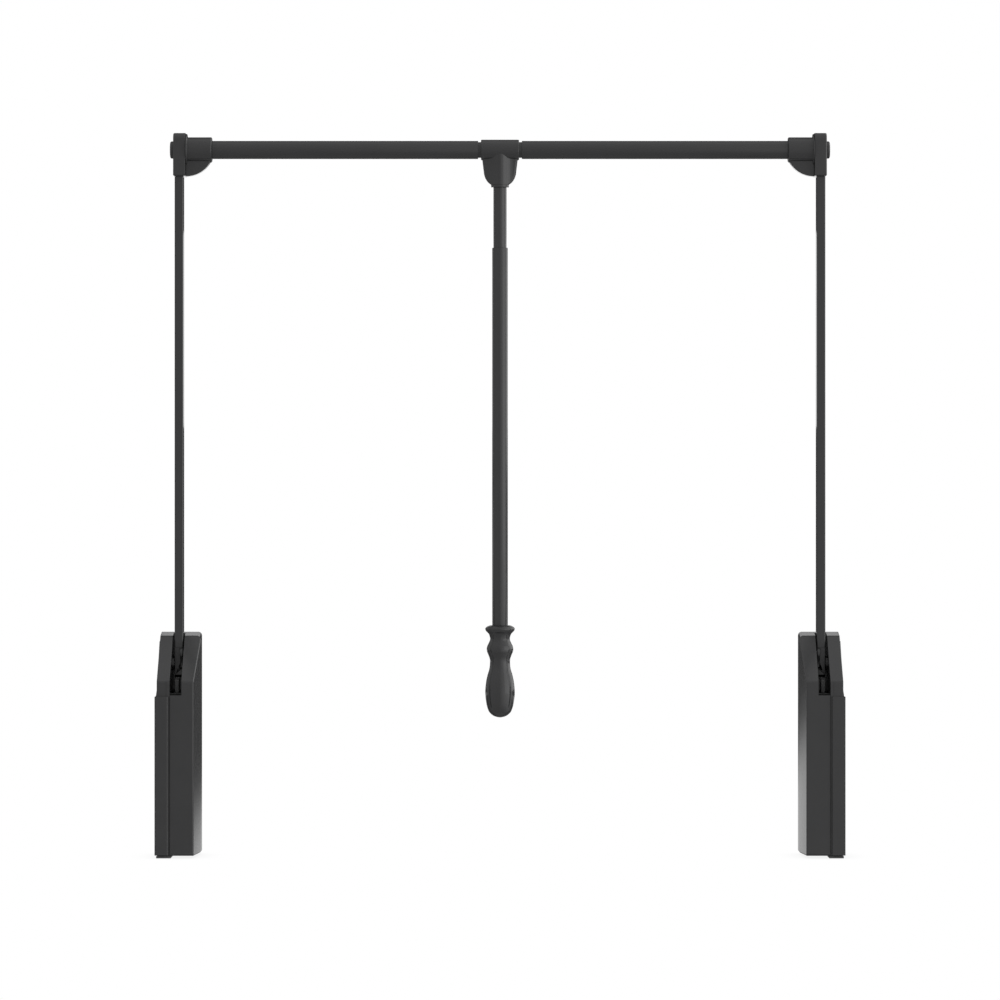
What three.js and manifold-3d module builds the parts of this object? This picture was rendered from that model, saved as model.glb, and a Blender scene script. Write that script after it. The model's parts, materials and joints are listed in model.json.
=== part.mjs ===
// A pull down closet rod. Two spring housings stand against the side walls of a wardrobe. An arm is
// hinged in each, and a telescopic rail swivels between the arm ends and carries a pull rod.
// Millimetres, +Z up, front towards -Y. The origin is under the middle, level with the feet.
// Both sides are built at +X, and the left one is mirrored.
import * as THREE from "three";
import { mergeVertices } from "three/addons/utils/BufferGeometryUtils.js";
import Module from "manifold-3d";

const wasm = await Module();
wasm.setup();

// Clearances and cutting
const gap = 0.3; // between pieces that touch or slide
const overrun = 6; // how far a cutting tool reaches past what it cuts

// Counts of sides, from the smallest round pieces to the largest
const smallSides = 10;
const mediumSides = 16;
const largeSides = 28;
const handleSides = 24;
const handleRings = 36;

// Overall sizes
const wallToWall = 830; // as photographed, the narrowest setting
const housingDepth = 87;
const railHeight = 856.3; // rail axis above the feet's underside
const pivotHeight = 232; // arm pivot above the feet's underside
const axisToBack = 20; // arm and rail axes in front of the housing's back
const liftDegrees = 100; // how far the arm swings forward

// Housing
const shellWall = 2.5;
const footHeight = 3; // with the gap above it
const topRise = 38.9; // the housing's top above the pivot, at the back
const slopeFootDrop = 19.3; // where the sloping front begins, below the pivot
const slopeHeadRise = 33.8; // where it meets the top, above the pivot
const slopeDepth = 62; // how far back it meets the top
const profileRound = 3;
const outerShellWidth = 15.4;
const innerShellWidth = 33.6;
const innerTaper = 5; // how much narrower the front is than the back
const taperDepth = 54; // over this depth
const frontEdgeRound = 2;
const innerCornerRound = 6;
const slotFootDrop = 36; // the slot's lower end, below the pivot
const slotSide = 1.6; // room beside the arm in the slot

// Mounting plate, cover strip and foot
const plateThickness = 2.1;
const plateInset = 2; // plate edges inside the shell's outline
const plateSetback = 33; // upper edge of the plate behind the sloping front
const wallHoleRadius = 2.75;
const wallHoleInset = 12;
const hookReach = 7;
const hookLength = 14;
const stripProud = 3;
const stripWidth = 16;
const stripFoot = 3.7;
const stripHeadDrop = 18.1; // below the foot of the slope
const stripLip = 6;
const footWidth = 18;
const footInset = 1.5; // from the wall face
const footRound = 1.2;

// Arm and pivot
const armWidth = 10.5;
const armDepth = 20;
const armWall = 1.5;
const armToWall = 20; // the arm's outer face to the wall face
const tongueLength = 25;
const shaftRadius = 5;
const shaftHeadRadius = 8;
const shaftHeadHeight = 2.4;
const bushWall = 1.8;
const hubRadius = 16.5;
const bossRadius = 8;
const clipThickness = 0.9;

// Crank, plunger, spring and stops
const crankRadius = 16;
const crankPinRadius = 4;
const lugRadius = 7;
const plungerRadius = 7;
const plungerPlay = 0.95; // under the pin, so that the straight push never binds
const plungerLength = 89;
const canisterWall = 1.5;
const canisterTopDrop = 47; // below the pivot
const canisterFloor = 3;
const canisterInset = 3.9; // canister beside the inner shell's side wall
const clampThickness = 4;
const clampDrop = 72; // the clamp's underside below the pivot
const springWire = 2;
const bufferWidth = 5;
const bufferLength = 18;
const bufferFront = 22; // behind the housing's front
const shelfThickness = 7;
const shelfTopDrop = 34.3; // below the pivot
const upperBufferWidth = 7.5;
const upperBufferHeight = 10;
const upperBufferRise = 20; // its underside above the pivot

// Shell screws
const screwRadius = 2;
const screwHeadRadius = 4;
const screwHeadHeight = 2.5;
const screwLength = 22;
const postRadius = 4.6;
const upperScrewDrop = 42; // below the pivot
const upperScrewToBack = 11;
const lowerScrewRise = 19; // above the housing's bottom
const lowerScrewToFront = 14;

// Arm end and swivel
const blockWidth = 14.7;
const blockShift = 0.6; // towards the middle, from the arm's own middle
const blockRadius = 20;
const blockDrop = 32.3; // from the rail axis to the block's underside
const blockFootRadius = 12;
const swivelRadius = 5;
const swivelHeadRadius = 8;
const swivelHeadHeight = 2.2;
const swivelReach = 7; // into the socket
const capRadius = 10.5;
const capHeight = 4.2;
const capRim = 2;
const capWall = 1.7;

// Rail
const railRadius = 11;
const railWall = 1.1;
const innerRailRadius = 9.55;
const innerRailWall = 1.2;
const innerRailLength = 600;
const neckLength = 3.5; // inner tube that shows beside the tee
const socketRadius = 15.4;
const socketLength = 31.5;
const socketEnd = 9.2; // solid end of the socket
const socketEdge = 1.5;
const flangeRadius = 18.5;
const flangeThickness = 2;
const gussetDepth = 13;
const gussetRun = 32.5; // half axes of its elliptical edge
const gussetFall = 30;
const glideFlange = 3;
const glideSpigot = 15;
const glideWall = 1.5;
const lockScrewRadius = 1.7;
const lockHeadRadius = 3.5;
const lockHeadHeight = 2.2;
const lockHeadSink = 0.3;
const socketScrewInset = 11;

// Tee
const teeRadius = 12.5;
const teeLength = 46.2;
const teeBossRadius = 11.9;
const teeDrop = 45.6; // from the rail axis to the boss's rim
const wingDepth = 12;
const wingShoulderDrop = 29;
const wingShoulderRun = 19.6;
const wingFootDrop = 44.4;
const wingBendDrop = 38.6;
const wingBendRun = 17.6;
const teeScrewDrop = 30;

// Pull rod and handle
const pullInnerRadius = 8;
const pullInnerWall = 1;
const pullInnerTop = 14.3; // below the rail axis
const pullInnerLength = 342;
const pullRadius = 9.5;
const pullWall = 1.15;
const pullTop = 119; // below the rail axis
const handleTop = 577.9; // below the rail axis
const handleLength = 112;
const handleRadius = 17.9;
const handleSocketDepth = 28.7;
const handleScrewDrop = 16.4;
const handleScrewRadius = 2;
const handleScrewSink = 0.4;

const handleNeckShare = 0.673;

// The handle's outline from its foot to its top, as shares of its length and of its radius
const handleShares = [
  [0.0, 0.0],
  [0.006, 0.22],
  [0.016, 0.4],
  [0.032, 0.56],
  [0.065, 0.75],
  [0.12, 0.88],
  [0.18, 0.955],
  [0.25, 1.0],
  [0.32, 0.99],
  [0.4, 0.93],
  [0.47, 0.83],
  [0.53, 0.72],
  [0.59, 0.68],
  [0.635, 0.695],
  [0.68, 0.79],
  [0.715, 0.88],
  [0.745, 0.9],
  [0.775, 0.865],
  [0.81, 0.76],
  [0.845, handleNeckShare],
  [0.88, 0.7],
  [0.91, 0.775],
  [0.935, 0.93],
  [0.955, 1.0],
  [0.975, 0.97],
  [0.99, 0.84],
  [1.0, 0.68],
];

// Places worked out from the sizes, for the side at +X
const wallFace = wallToWall / 2;
const back = (housingDepth + stripProud) / 2;
const front = back - housingDepth;
const axisY = back - axisToBack;
const housingTop = pivotHeight + topRise;
const slopeFoot = pivotHeight - slopeFootDrop;
const slopeHead = pivotHeight + slopeHeadRise;
const slotFoot = pivotHeight - slotFootDrop;
const stripHead = slopeFoot - stripHeadDrop;
const canisterTop = pivotHeight - canisterTopDrop;
const clampHeight = pivotHeight - clampDrop;
const shelfTop = pivotHeight - shelfTopDrop;
const upperBufferFoot = pivotHeight + upperBufferRise;
const plateInner = wallFace - plateThickness;
const outerShellEdge = plateInner - gap;
const parting = outerShellEdge - outerShellWidth;
const innerShellEdge = parting - gap;
const innerShellSide = innerShellEdge - innerShellWidth;
const innerWallFace = innerShellSide + shellWall;
const webOuter = parting + shellWall;
const armOuter = wallFace - armToWall;
const armInner = armOuter - armWidth;
const armMiddle = (armOuter + armInner) / 2;
const blockOuter = armMiddle + blockWidth / 2 - blockShift;
const blockInner = blockOuter - blockWidth;
const socketOuter = blockInner - gap;
const socketInner = socketOuter - socketLength;
const railEnd = socketOuter - socketEnd - gap;
const slotInner = armInner - slotSide;
const lift = THREE.MathUtils.degToRad(liftDegrees);
const crankForward = crankRadius * Math.cos(lift / 2);
const crankRise = crankRadius * Math.sin(lift / 2);
const armFoot = crankRise + lugRadius + gap * 2; // the tube's lower end above the pivot
const plungerY = axisY - (crankRadius + crankForward) / 2;
const plungerTop = pivotHeight + crankRise - crankPinRadius - plungerPlay;
const canisterRadius = plungerRadius + gap + canisterWall;
const plungerX = innerShellSide + canisterInset + canisterRadius;
const canisterFoot = footHeight + shellWall + gap;
const teeHalf = teeLength / 2;
const pullBottom = handleTop + handleSocketDepth;

// A closed surface as a solid that can be joined and cut.
function solid(geometry) {
  geometry.deleteAttribute("normal");
  geometry.deleteAttribute("uv");
  const merged = mergeVertices(geometry);
  const vertProperties = merged.attributes.position.array;
  const triVerts = new Uint32Array(merged.index.array);
  return new wasm.Manifold(new wasm.Mesh({ numProp: 3, vertProperties, triVerts }));
}

// A box between two values on each axis.
function box([x0, x1], [y0, y1], [z0, z1]) {
  const geometry = new THREE.BoxGeometry(x1 - x0, y1 - y0, z1 - z0);
  return solid(geometry.translate((x0 + x1) / 2, (y0 + y1) / 2, (z0 + z1) / 2));
}

// A profile of [radius, place along the axis] turned about a line that runs along an axis through at.
const turnTo = {
  x: new THREE.Matrix4().makeRotationZ(-Math.PI / 2),
  y: new THREE.Matrix4(),
  z: new THREE.Matrix4().makeRotationX(Math.PI / 2),
};
function turned(profile, axis, [x, y, z], sides) {
  const points = profile.map(([radius, along]) => new THREE.Vector2(radius, along));
  const geometry = new THREE.LatheGeometry(points, sides);
  return solid(geometry.applyMatrix4(turnTo[axis]).translate(x, y, z));
}
function rod(radius, [from, to], axis, at, sides) {
  return turned([[0, from], [radius, from], [radius, to], [0, to]], axis, at, sides);
}
function pipe(radius, wall, [from, to], axis, at, sides) {
  const bore = radius - wall;
  const ring = [[bore, from], [radius, from], [radius, to], [bore, to], [bore, from]];
  return turned(ring, axis, at, sides);
}

// An outline pushed along an axis: (Y, Z) along x, (X, Z) along y, (X, Y) along z.
const alongX = new THREE.Vector3(1, 0, 0);
const alongY = new THREE.Vector3(0, 1, 0);
const alongZ = new THREE.Vector3(0, 0, 1);
const layTo = {
  x: new THREE.Matrix4().makeBasis(alongY, alongZ, alongX),
  y: new THREE.Matrix4().makeBasis(alongX, alongZ, alongY.clone().negate()),
  z: new THREE.Matrix4(),
};
function pushed(shape, axis, [from, to], curveSegments = 3) {
  const options = { depth: to - from, bevelEnabled: false, curveSegments };
  const geometry = new THREE.ExtrudeGeometry(shape, options);
  geometry.translate(0, 0, axis === "y" ? -to : from);
  return solid(geometry.applyMatrix4(layTo[axis]));
}

// An outline through corners, counter-clockwise, each rounded by its own radius.
function outline(corners, radii) {
  const shape = new THREE.Shape();
  const points = corners.map(([a, b]) => new THREE.Vector2(a, b));
  points.forEach((corner, i) => {
    const last = points[(i + points.length - 1) % points.length];
    const next = points[(i + 1) % points.length];
    const radius = radii[i] ?? 0;
    const start = corner.clone().add(last.clone().sub(corner).setLength(radius));
    const end = corner.clone().add(next.clone().sub(corner).setLength(radius));
    if (i === 0) shape.moveTo(start.x, start.y);
    else shape.lineTo(start.x, start.y);
    if (radius > 0) shape.quadraticCurveTo(corner.x, corner.y, end.x, end.y);
  });
  shape.closePath();
  return shape;
}

// The corners of a convex outline moved inwards by a distance.
function inset(corners, distance) {
  const edges = corners.map(([a, b], i) => {
    const [c, d] = corners[(i + 1) % corners.length];
    const run = new THREE.Vector2(c - a, d - b).normalize();
    return { run, start: new THREE.Vector2(a - run.y * distance, b + run.x * distance) };
  });
  return edges.map((edge, i) => {
    const last = edges[(i + edges.length - 1) % edges.length];
    const between = edge.start.clone().sub(last.start);
    const step = between.cross(edge.run) / last.run.cross(edge.run);
    return last.start.clone().addScaledVector(last.run, step).toArray();
  });
}

// The outline round two circles, counter-clockwise.
function belt([a, b], radius, [c, d], otherRadius) {
  const base = Math.atan2(d - b, c - a);
  const spread = Math.acos((radius - otherRadius) / Math.hypot(c - a, d - b));
  const shape = new THREE.Shape();
  shape.absarc(a, b, radius, base + spread, base - spread + 2 * Math.PI, false);
  shape.absarc(c, d, otherRadius, base - spread, base + spread, false);
  shape.closePath();
  return shape;
}

function join(...solids) {
  return solids.reduce((whole, piece) => whole.add(piece));
}
function cut(body, ...tools) {
  return tools.reduce((rest, tool) => rest.subtract(tool), body);
}

// Housing outlines. The profile is seen from the side, the plan from above, the face from the front.
function profileCorners() {
  return [
    [front, footHeight],
    [back, footHeight],
    [back, housingTop],
    [front + slopeDepth, slopeHead],
    [front, slopeFoot],
  ];
}
const profileRadii = [profileRound, profileRound, profileRound, profileRound * 2, profileRound * 2];

function planCorners(edge) {
  return [
    [innerShellSide + innerTaper, front],
    [edge, front],
    [edge, back],
    [innerShellSide, back],
    [innerShellSide, front + taperDepth],
  ];
}

function faceCorners() {
  return [
    [innerShellSide, footHeight],
    [innerShellEdge, footHeight],
    [innerShellEdge, housingTop],
    [innerShellSide, housingTop],
  ];
}

const screwPlaces = {
  upper: [back - upperScrewToBack, pivotHeight - upperScrewDrop],
  lower: [front + lowerScrewToFront, footHeight + lowerScrewRise],
};

// The inner shell is a box without its outer side, cut by the slot, with posts for the screws, a
// bearing ring for the shaft's end and a clamp round the canister.
function innerShell() {
  const across = [innerShellSide, innerShellEdge];
  const plan = outline(planCorners(innerShellEdge), [frontEdgeRound]);
  const face = outline(faceCorners(), [innerCornerRound, 0, 0, innerCornerRound]);
  const skin = pushed(outline(profileCorners(), profileRadii), "x", across)
    .intersect(pushed(plan, "z", [footHeight, housingTop]))
    .intersect(pushed(face, "y", [front, back]));
  const openEdge = innerShellEdge + shellWall + overrun;
  const hollow = pushed(outline(inset(profileCorners(), shellWall), []), "x", [innerShellSide, openEdge])
    .intersect(pushed(outline(inset(planCorners(openEdge), shellWall), []), "z", [0, housingTop]));
  const slotBack = axisY + armDepth / 2 + slotSide;
  const slot = box([slotInner, openEdge], [front - overrun, slotBack], [slotFoot, housingTop + overrun]);
  const sideWall = innerShellSide + shellWall / 2;
  const fittings = Object.values(screwPlaces).map(([y, z]) =>
    rod(postRadius, [sideWall, innerShellEdge - gap], "x", [0, y, z], mediumSides),
  );
  const ringEnd = plungerX - plungerRadius - gap;
  fittings.push(rod(bossRadius, [sideWall, ringEnd], "x", [0, axisY, pivotHeight], mediumSides));
  fittings.push(canisterClamp(sideWall));
  const inside = join(...fittings).intersect(skin);
  const bores = Object.values(screwPlaces).map(([y, z]) =>
    rod(screwRadius + gap, [innerWallFace + shellWall, openEdge], "x", [0, y, z], smallSides),
  );
  bores.push(rod(shaftRadius + gap, [innerWallFace, openEdge], "x", [0, axisY, pivotHeight], mediumSides));
  bores.push(canisterBore());
  return cut(join(cut(skin, hollow), inside), slot, ...bores);
}

function canisterClamp(sideWall) {
  const reach = canisterRadius + shellWall;
  const across = [sideWall, plungerX + reach];
  return box(across, [plungerY - reach, plungerY + reach], [clampHeight, clampHeight + clampThickness]);
}
function canisterBore() {
  const along = [clampHeight - overrun, clampHeight + clampThickness + overrun];
  return rod(canisterRadius + gap, along, "z", [plungerX, plungerY, 0], mediumSides);
}

// The outer shell is a tray that opens towards the wall. Its web carries the shaft and the arm's stop.
function outerShell() {
  const skin = pushed(outline(profileCorners(), profileRadii), "x", [parting, outerShellEdge]);
  const openEdge = outerShellEdge + overrun;
  const hollow = pushed(outline(inset(profileCorners(), shellWall), []), "x", [webOuter, openEdge]);
  const shaftBoss = rod(bossRadius, [armOuter + gap, parting + shellWall / 2], "x", pivotAt, mediumSides);
  const shelf = box(
    [armMiddle - bufferWidth, parting + shellWall / 2],
    [front + bufferFront, front + bufferFront + bufferLength],
    [shelfTop - shelfThickness, shelfTop],
  );
  const through = [armInner, openEdge];
  const bores = Object.values(screwPlaces).map(([y, z]) =>
    rod(screwRadius + gap, through, "x", [0, y, z], smallSides),
  );
  bores.push(rod(shaftRadius + gap, through, "x", pivotAt, mediumSides));
  return cut(join(cut(skin, hollow), shaftBoss, shelf), ...bores);
}
const pivotAt = [0, axisY, pivotHeight];

function shellScrew([y, z]) {
  const head = [webOuter + gap, webOuter + gap + screwHeadHeight];
  const shank = rod(screwRadius, [head[0] - screwLength, head[1]], "x", [0, y, z], smallSides);
  return join(shank, rod(screwHeadRadius, head, "x", [0, y, z], mediumSides));
}

// The plate's front edge stays behind the sloping front, out of sight beside the housing.
function mountingPlate() {
  const lipEnd = front + stripLip + gap;
  const slopeRun = slopeDepth / (slopeHead - slopeFoot);
  const plateTop = housingTop - plateInset - shellWall * 4;
  const bottom = footHeight + plateInset;
  const shoulder = slopeFoot - innerCornerRound * 2;
  const upperBack = back - plateInset;
  const corners = [
    [lipEnd, bottom],
    [upperBack, bottom],
    [upperBack, plateTop],
    [upperBack - slopeRun * shellWall, plateTop],
    [front + plateSetback, shoulder],
    [lipEnd, shoulder - stripLip * 2],
  ];
  const plate = pushed(outline(corners, []), "x", [plateInner, wallFace]);
  const across = [plateInner - overrun, wallFace + overrun];
  const holeYs = [lipEnd + wallHoleInset, upperBack - wallHoleInset];
  const holeZs = [bottom + wallHoleInset, shoulder - wallHoleInset * 2];
  const holes = holeYs.flatMap((y) =>
    holeZs.map((z) => rod(wallHoleRadius, across, "x", [0, y, z], smallSides)),
  );
  const hookAcross = [plateInner - hookReach, plateInner + plateThickness / 2];
  const seat = footHeight + shellWall + gap;
  const backSeat = back - shellWall - gap;
  const middle = (front + back) / 2;
  const lowHook = box(hookAcross, [middle, middle + hookLength], [seat, seat + plateThickness]);
  const backHook = box(
    hookAcross,
    [backSeat - plateThickness, backSeat],
    [shoulder - hookLength * 2, shoulder - hookLength],
  );
  return cut(join(plate, lowHook, backHook), ...holes);
}

function coverStrip() {
  const height = [stripFoot, stripHead];
  const inner = wallFace - stripWidth;
  const face = box([inner, wallFace], [front - stripProud, front - gap], height);
  const lip = box([plateInner, wallFace], [front - gap - shellWall / 2, front + stripLip], height);
  return join(face, lip);
}

function bottomFoot() {
  const outer = wallFace - footInset;
  const corners = [
    [outer - footWidth, 0],
    [outer, 0],
    [outer, footHeight - gap],
    [outer - footWidth, footHeight - gap],
  ];
  const rounds = [footRound, footRound];
  return pushed(outline(corners, rounds), "y", [front + plateInset, back - plateInset]);
}

function pivotShaft() {
  const head = [webOuter + gap, webOuter + gap + shaftHeadHeight];
  const shank = rod(shaftRadius, [innerWallFace + gap, head[1]], "x", pivotAt, mediumSides);
  return join(shank, rod(shaftHeadRadius, head, "x", pivotAt, mediumSides));
}

function retainingClip() {
  const across = [armInner - gap - clipThickness, armInner - gap];
  return pipe(bossRadius, bossRadius - shaftRadius - gap, across, "x", pivotAt, mediumSides);
}

function springCanister() {
  const at = [plungerX, plungerY, 0];
  const barrel = rod(canisterRadius, [canisterFoot, canisterTop], "z", at, mediumSides);
  const bore = [canisterFoot + canisterFloor, canisterTop + overrun];
  return cut(barrel, rod(plungerRadius + gap, bore, "z", at, mediumSides));
}

function plunger() {
  const along = [plungerTop - plungerLength, plungerTop];
  return rod(plungerRadius, along, "z", [plungerX, plungerY, 0], mediumSides);
}

function liftSpring() {
  const along = [canisterFoot + canisterFloor + gap, plungerTop - plungerLength - gap];
  return pipe(plungerRadius - gap, springWire, along, "z", [plungerX, plungerY, 0], mediumSides);
}

// The lower stop's top lies along the arm's underside when the arm is fully down.
function lowerStopBuffer() {
  const tilt = lift - Math.PI / 2;
  const under = (y) =>
    pivotHeight - (axisY - y) * Math.tan(tilt) - armDepth / 2 / Math.cos(tilt) - gap;
  const near = front + bufferFront;
  const far = near + bufferLength;
  const corners = [
    [near, shelfTop + gap],
    [far, shelfTop + gap],
    [far, under(far)],
    [near, under(near)],
  ];
  const across = [armMiddle - bufferWidth / 2, armMiddle + bufferWidth / 2];
  return pushed(outline(corners, []), "x", across);
}

function upperStopBuffer() {
  const across = [armMiddle - upperBufferWidth / 2, armMiddle + upperBufferWidth / 2];
  const depth = [axisY + armDepth / 2 + gap, back - shellWall - gap];
  return box(across, depth, [upperBufferFoot, upperBufferFoot + upperBufferHeight]);
}

// Arm pieces. Their places are measured from the pivot, in the plane of the arm's middle.
const armHalf = armWidth / 2;
const hubAcross = [-armHalf, armHalf];
const crankAt = [0, -crankForward, crankRise];
const bushRadius = shaftRadius + gap + bushWall;

function tongue(along) {
  const halfWidth = armHalf - armWall - gap;
  const halfDepth = armDepth / 2 - armWall - gap;
  return box([-halfWidth, halfWidth], [-halfDepth, halfDepth], along);
}

function armHub() {
  const disc = rod(hubRadius, hubAcross, "x", [0, 0, 0], largeSides);
  const lug = belt([0, 0], hubRadius - gap, [-crankForward, crankRise], lugRadius);
  const neck = box(hubAcross, [-armDepth / 2, armDepth / 2], [0, armFoot - gap]);
  const body = join(disc, pushed(lug, "x", hubAcross, 6), neck, tongue([0, armFoot + tongueLength]));
  const through = [-armHalf - overrun, armHalf + overrun];
  const bushBore = rod(bushRadius + gap, through, "x", [0, 0, 0], mediumSides);
  return cut(body, bushBore, rod(crankPinRadius + gap, through, "x", crankAt, smallSides));
}

function pivotBush() {
  return pipe(bushRadius, bushWall, [gap - armHalf, armHalf - gap], "x", [0, 0, 0], mediumSides);
}

function crankPin() {
  const reach = armMiddle - plungerX + plungerRadius - capWall;
  return rod(crankPinRadius, [-reach, armHalf - gap], "x", crankAt, smallSides);
}

function armTube() {
  const along = [armFoot, railHeight - blockDrop - pivotHeight - gap];
  const halfDepth = armDepth / 2;
  const bore = [along[0] - overrun, along[1] + overrun];
  const outside = box(hubAcross, [-halfDepth, halfDepth], along);
  const wall = armHalf - armWall;
  return cut(outside, box([-wall, wall], [armWall - halfDepth, halfDepth - armWall], bore));
}

function armEndBlock() {
  const rise = railHeight - pivotHeight;
  const foot = rise - blockDrop;
  const sides = [blockInner - armMiddle, blockOuter - armMiddle];
  const shape = belt([0, rise], blockRadius, [0, foot + blockFootRadius / 2], blockFootRadius);
  const body = pushed(shape, "x", sides, 12);
  const through = [sides[0] - overrun, sides[1] + overrun];
  const trim = box(through, [-blockRadius, blockRadius], [foot - blockRadius, foot]);
  const bore = rod(swivelRadius + gap, through, "x", [0, 0, rise], mediumSides);
  return cut(join(cut(body, trim), tongue([foot - tongueLength, foot + blockFootRadius / 2])), bore);
}

// Rail pieces. Their places are measured from the rail axis, and along it from the part's middle.
const railAt = [0, 0, 0];

function swivelPin() {
  const head = [blockOuter + gap, blockOuter + gap + swivelHeadHeight];
  const shank = rod(swivelRadius, [socketOuter - swivelReach, head[1]], "x", railAt, mediumSides);
  return join(shank, rod(swivelHeadRadius, head, "x", railAt, mediumSides));
}

function swivelCap() {
  const base = blockOuter + gap;
  const hollow = swivelHeadRadius + gap;
  const ceiling = base + capHeight - capWall;
  const dome = [0, 1, 2, 3, 4].map((step) => {
    const angle = (step / 4) * (Math.PI / 2);
    const rise = (capHeight - capRim) * Math.sin(angle);
    return [capRadius - (capHeight - capRim) * (1 - Math.cos(angle)), base + capRim + rise];
  });
  const rim = [[hollow, base], [capRadius, base]];
  const crown = [[0, base + capHeight], [0, ceiling], [hollow, ceiling], [hollow, base]];
  return turned([...rim, ...dome, ...crown], "x", railAt, mediumSides);
}

function railSocket() {
  const edge = [socketRadius - socketEdge, socketInner];
  const barrel = [
    [0, socketInner],
    edge,
    [socketRadius, socketInner + socketEdge],
    [socketRadius, socketOuter - flangeThickness],
    [flangeRadius, socketOuter - flangeThickness],
    [flangeRadius, socketOuter],
    [0, socketOuter],
  ];
  const body = join(turned(barrel, "x", railAt, largeSides), gusset());
  const tubeBore = rod(railRadius + gap, [socketInner - overrun, railEnd + gap], "x", railAt, largeSides);
  const pinBore = [railEnd, socketOuter + overrun];
  const pinHole = rod(swivelRadius + gap, pinBore, "x", railAt, mediumSides);
  return cut(body, tubeBore, pinHole, lockBore(socketRadius, socketScrewX));
}
const socketScrewX = socketInner + socketScrewInset;

// A web under the socket whose lower edge is a quarter of an ellipse.
function gusset() {
  const shape = new THREE.Shape();
  const bottom = -blockDrop;
  shape.moveTo(socketOuter, 0);
  shape.lineTo(socketOuter - gussetRun, 0);
  shape.lineTo(socketOuter - gussetRun, bottom + gussetFall);
  shape.absellipse(socketOuter, bottom + gussetFall, gussetRun, gussetFall, Math.PI, 1.5 * Math.PI, false);
  shape.closePath();
  const web = pushed(shape, "y", [-gussetDepth / 2, gussetDepth / 2], 6);
  const keep = box([socketInner, socketOuter], [-gussetDepth, gussetDepth], [bottom, 0]);
  return web.intersect(keep);
}

// A headed screw that comes in from behind, and the stepped hole that it needs.
function lockScrew(surface, x, z, tip) {
  const head = [surface - lockHeadSink - lockHeadHeight, surface - lockHeadSink];
  const shank = rod(lockScrewRadius, [tip, head[1]], "y", [x, 0, z], smallSides);
  return join(shank, rod(lockHeadRadius, head, "y", [x, 0, z], smallSides));
}
function lockBore(surface, x, z = 0) {
  const seat = surface - lockHeadSink - lockHeadHeight - gap;
  const shank = rod(lockScrewRadius + gap, [0, surface + overrun], "y", [x, 0, z], smallSides);
  return join(shank, rod(lockHeadRadius + gap, [seat, surface + overrun], "y", [x, 0, z], smallSides));
}

function socketScrew() {
  return lockScrew(socketRadius, socketScrewX, 0, railRadius - railWall - gap);
}

function railOuterTube() {
  const tube = pipe(railRadius, railWall, [teeHalf + neckLength, railEnd], "x", railAt, largeSides);
  return cut(tube, lockBore(socketRadius, socketScrewX));
}

// A plug on the end of a sliding tube: a spigot inside it and a flange that rides in the outer tube.
function glide(flange, bore, end, axis) {
  const spigot = bore - gap;
  const profile = [
    [spigot - glideWall, end - glideSpigot],
    [spigot, end - glideSpigot],
    [spigot, end + gap],
    [flange, end + gap],
    [flange, end + gap + glideFlange],
    [spigot - glideWall, end + gap + glideFlange],
    [spigot - glideWall, end - glideSpigot],
  ];
  return turned(profile, axis, [0, 0, 0], mediumSides);
}

function railGlide() {
  return glide(innerRailRadius, innerRailRadius - innerRailWall, innerRailLength / 2, "x");
}

function railInnerTube() {
  const half = innerRailLength / 2;
  return pipe(innerRailRadius, innerRailWall, [-half, half], "x", railAt, largeSides);
}

// The tee: a sleeve on the rail, thin wings below it and a round boss for the pull rod.
function teeConnector() {
  const sleeve = rod(teeRadius, [-teeHalf, teeHalf], "x", railAt, largeSides);
  const boss = rod(teeBossRadius, [-teeDrop, 0], "z", railAt, largeSides);
  const wings = pushed(wingOutline(), "y", [-wingDepth / 2, wingDepth / 2], 6);
  const through = [-teeHalf - overrun, teeHalf + overrun];
  const railBore = rod(innerRailRadius + gap, through, "x", railAt, largeSides);
  const pullReach = [-teeDrop - overrun, gap - pullInnerTop];
  const pullBore = rod(pullInnerRadius + gap, pullReach, "z", railAt, mediumSides);
  return cut(join(sleeve, boss, wings), railBore, pullBore, lockBore(teeBossRadius, 0, -teeScrewDrop));
}

function wingOutline() {
  const shape = new THREE.Shape();
  shape.moveTo(teeHalf, -socketEdge);
  shape.lineTo(-teeHalf, -socketEdge);
  shape.lineTo(-wingShoulderRun, -wingShoulderDrop);
  shape.quadraticCurveTo(-wingBendRun, -wingBendDrop, -teeBossRadius, -wingFootDrop);
  shape.lineTo(teeBossRadius, -wingFootDrop);
  shape.quadraticCurveTo(wingBendRun, -wingBendDrop, wingShoulderRun, -wingShoulderDrop);
  shape.closePath();
  return shape;
}

function teeScrew() {
  return lockScrew(teeBossRadius, 0, -teeScrewDrop, pullInnerRadius - pullInnerWall - gap);
}

function pullInnerTube() {
  const along = [-pullInnerTop - pullInnerLength, -pullInnerTop];
  const tube = pipe(pullInnerRadius, pullInnerWall, along, "z", railAt, mediumSides);
  return cut(tube, lockBore(teeBossRadius, 0, -teeScrewDrop));
}

function pullGlide() {
  const plug = glide(pullInnerRadius, pullInnerRadius - pullInnerWall, pullInnerTop + pullInnerLength, "y");
  return plug.rotate([-90, 0, 0]);
}

function handleBore(radius, from) {
  return rod(radius, [from, handleRadius + overrun], "y", [0, 0, -handleTop - handleScrewDrop], smallSides);
}

function pullOuterTube() {
  const tube = pipe(pullRadius, pullWall, [-pullBottom, -pullTop], "z", railAt, largeSides);
  return cut(tube, handleBore(handleScrewRadius + gap, 0));
}

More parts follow.
